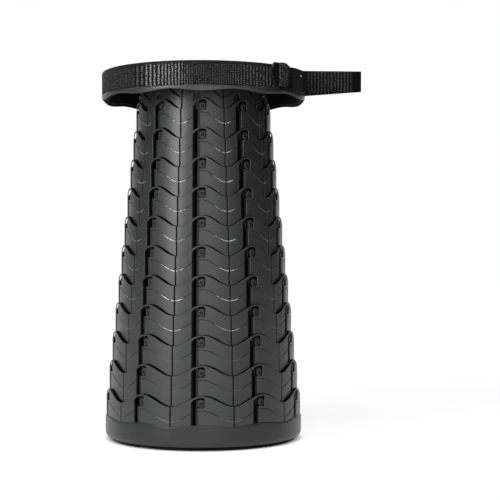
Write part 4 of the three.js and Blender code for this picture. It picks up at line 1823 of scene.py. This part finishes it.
# The webbing that passes over the slider's middle bar, lumpy from being pulled through
def buildSliderFold():
    near = beltOuter + fit
    halfLength = slider["length"] / 2
    left = slider["pullBar"] - halfLength + fold["inset"]
    right = halfLength - slider["endBar"] - fold["inset"]
    centre = (left + right) / 2
    reach = (right - left) / 2
    half = belt["width"] / 2
    turn = sideFrame(slider["azimuth"] * degree)
    lift = Vector((0, 0, overlayMiddle))
    bm = newShape()
    shade = bm.verts.layers.float["shade"]
    ribs = bm.verts.layers.float.new("ribs")
    uv = bm.loops.layers.uv.new("band")
    alongCells, acrossCells = fold["cells"]
    along = frange(-1, 1, alongCells)
    across = frange(-half, half, acrossCells)
    creaseShade, lumpShade, endShade = fold["shades"]

    def noiseAt(key, share, y):
        dense, denseAcross, place = fold[key]
        return noise.noise(Vector((share * dense, y * denseAcross, place)))

    grid = []
    for share in along:
        crown = math.sqrt(max(0.0, 1 - share * share))
        crease = sum(
            depth * math.exp(-((share - place) / width) ** 2)
            for place, width, depth in fold["creases"])
        row = []
        for y in across:
            bump = noiseAt("lumps", share, y)
            speck = noiseAt("specks", share, y)
            drop = crease - fold["lump"] * bump + fold["edgeDrop"] * (abs(y) / half) ** 8
            out = near + fold["hover"] + crown * (fold["crown"] - drop)
            tilt = fold["tilt"] * (1 - share) / 2 * max(0.0, y / half) ** 2
            tall = y * (1 + fold["spread"] * crown) + (fold["lift"] + tilt) * crown
            place = turn @ Vector((centre + share * reach, tall, out)) + lift
            vertex = bm.verts.new(place * mm)
            # painted shade: dark in the creases and at the turned-under ends, lighter on the lumps
            dark = crease * creaseShade - bump * lumpShade + endShade * (1 - crown) ** 2
            vertex[shade] = rise(dark, 0, 1)
            vertex[ribs] = rise(fold["lighter"] + fold["speckle"] * speck, 0, 1)
            row.append(vertex)
        grid.append(row)
    for i in range(alongCells):
        for j in range(acrossCells):
            places = ((i, j), (i + 1, j), (i + 1, j + 1), (i, j + 1))
            face = bm.faces.new([grid[u][v] for u, v in places])
            for corner, (u, v) in zip(face.loops, places):
                corner[uv].uv = (along[u] * reach / fold["pitch"], across[v])
    piece = objectFrom(bm, "slider_fold")
    modifier = piece.modifiers.new("thickness", "SOLIDIFY")
    modifier.thickness = fold["sheet"] * mm
    modifier.offset = -1
    makePlain(piece)
    return settle(piece, "seat", foldWebbing, sharpAbove=60)


def buildRivet():
    head = latheSolid("rivet_head", rivet["profile"], rivet["sides"])
    turn = sideFrame((loop["root"] - rivet["inset"]) * degree)
    out = Vector((0, 0, beltOuter + 2 * fit + belt["thickness"])) * mm
    lift = Vector((0, 0, beltTop - rivet["drop"])) * mm
    for vertex in head.data.vertices:
        vertex.co = turn @ (vertex.co + out) + lift
    return settle(head, "seat", steel, ["loop_rivet"])


buildBelt()
buildLoop()
buildSlider()
buildSliderFold()
buildRivet()
print("belt made")


# Floor, lamps and world

studio = {
    "floor": 12.0,
    "fade": (0.55, 1.6),     # where the floor turns into plain white
    "underStool": (0.112, 0.124),    # where the floor's glow starts; under the stool it is left out, a painted shadow
    "floorColor": 0.5,
    "floorGlow": 0.86,
    "worldLight": 0.06,
    "aim": 0.25,             # height that the lamps face
    "drape": (3.0, 2.6, -150, 140),      # radius and height, and where it starts and ends
    "drapeFoot": -0.2,
    "drapeSides": 40,
    "drapeColor": (0.02, 0.02, 0.02),
    "lamps": (
        # name, azimuth, height, distance, width, tall, watts: a softbox that faces the column
        ("key", -41.5, 0.66, 1.4, 0.34, 1.0, 12),
        ("rim", -138, 0.5, 2.0, 0.9, 1.4, 3),
        ("fill", 2, 0.6, 2.4, 1.2, 1.2, 8),
        ("panel", 24, 0.6, 2.4, 1.4, 1.4, 4),
        ("top", -10, 2.2, 0.9, 0.5, 0.5, 8),
    ),
}


# 1 for rays that show the world or the floor itself, 0 for those that only bring light
def seenRays(tree):
    light = addNode(tree, "ShaderNodeLightPath")
    seen = math2(tree, "MAXIMUM", light.outputs["Is Camera Ray"], light.outputs["Is Glossy Ray"])
    return math2(tree, "MAXIMUM", seen, light.outputs["Is Transmission Ray"])


def addFloor():
    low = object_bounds()[0].z
    half = studio["floor"] / 2
    bm = bmesh.new()
    corners = [(-half, -half), (half, -half), (half, half), (-half, half)]
    bm.faces.new([bm.verts.new((x, y, low)) for x, y in corners])
    floor = objectFrom(bm, "floor")
    material, tree, shader = plainMaterial("paleFloor", [studio["floorColor"]] * 3, 0.9, 0.1)
    place = addNode(tree, "ShaderNodeTexCoord").outputs["Object"]
    away = addNode(tree, "ShaderNodeVectorMath", {0: place}, operation="LENGTH")
    away = away.outputs["Value"]
    fade = rampValue(tree, away, studio["floorGlow"], 1.0, *studio["fade"])
    clear = rampValue(tree, away, 0.0, 1.0, *studio["underStool"])
    glow = math2(tree, "MULTIPLY", math2(tree, "MULTIPLY", seenRays(tree), fade), clear)
    glow = addNode(tree, "ShaderNodeEmission", {"Strength": glow})
    lit = addNode(tree, "ShaderNodeAddShader", {0: shader.outputs[0], 1: glow.outputs[0]})
    tree.links.new(lit.outputs[0], tree.nodes["Material Output"].inputs["Surface"])
    floor.data.materials.append(material)


# A dark drape round the camera's side of the studio, which only reflections and soft light meet
def addDrape():
    radius, height, first, last = studio["drape"]
    bm = bmesh.new()
    rows = []
    for azimuth in frange(first, last, studio["drapeSides"]):
        place = outward(azimuth * degree) * radius
        levels = (studio["drapeFoot"], height)
        rows.append([bm.verts.new((place.x, place.y, z)) for z in levels])
    for a, b in zip(rows, rows[1:]):
        bm.faces.new((a[0], a[1], b[1], b[0]))
    drape = objectFrom(bm, "drape")
    material = plainMaterial("darkDrape", studio["drapeColor"], 1.0, 0.0)[0]
    drape.data.materials.append(material)
    drape.visible_camera = False


def addLamps():
    for name, azimuth, height, distance, width, tall, watts in studio["lamps"]:
        data = bpy.data.lights.new(name, "AREA")
        data.shape = "RECTANGLE"
        data.size = width
        data.size_y = tall
        data.energy = watts
        lamp = bpy.data.objects.new(name, data)
        bpy.context.scene.collection.objects.link(lamp)
        lamp.location = outward(azimuth * degree) * distance + Vector((0, 0, height))
        aim = Vector((0, 0, studio["aim"])) - lamp.location
        lamp.rotation_euler = aim.to_track_quat("-Z", "Y").to_euler()


def setWorld():
    world = bpy.data.worlds.new("studio")
    bpy.context.scene.world = world
    world.use_nodes = True
    tree = world.node_tree
    background = tree.nodes["Background"]
    strength = rampValue(tree, seenRays(tree), studio["worldLight"], 1.0)
    background.inputs["Color"].default_value = (1, 1, 1, 1)
    tree.links.new(strength, background.inputs["Strength"])
    bpy.context.scene.view_settings.view_transform = "Standard"


addFloor()
addDrape()
addLamps()
setWorld()
print("studio made")
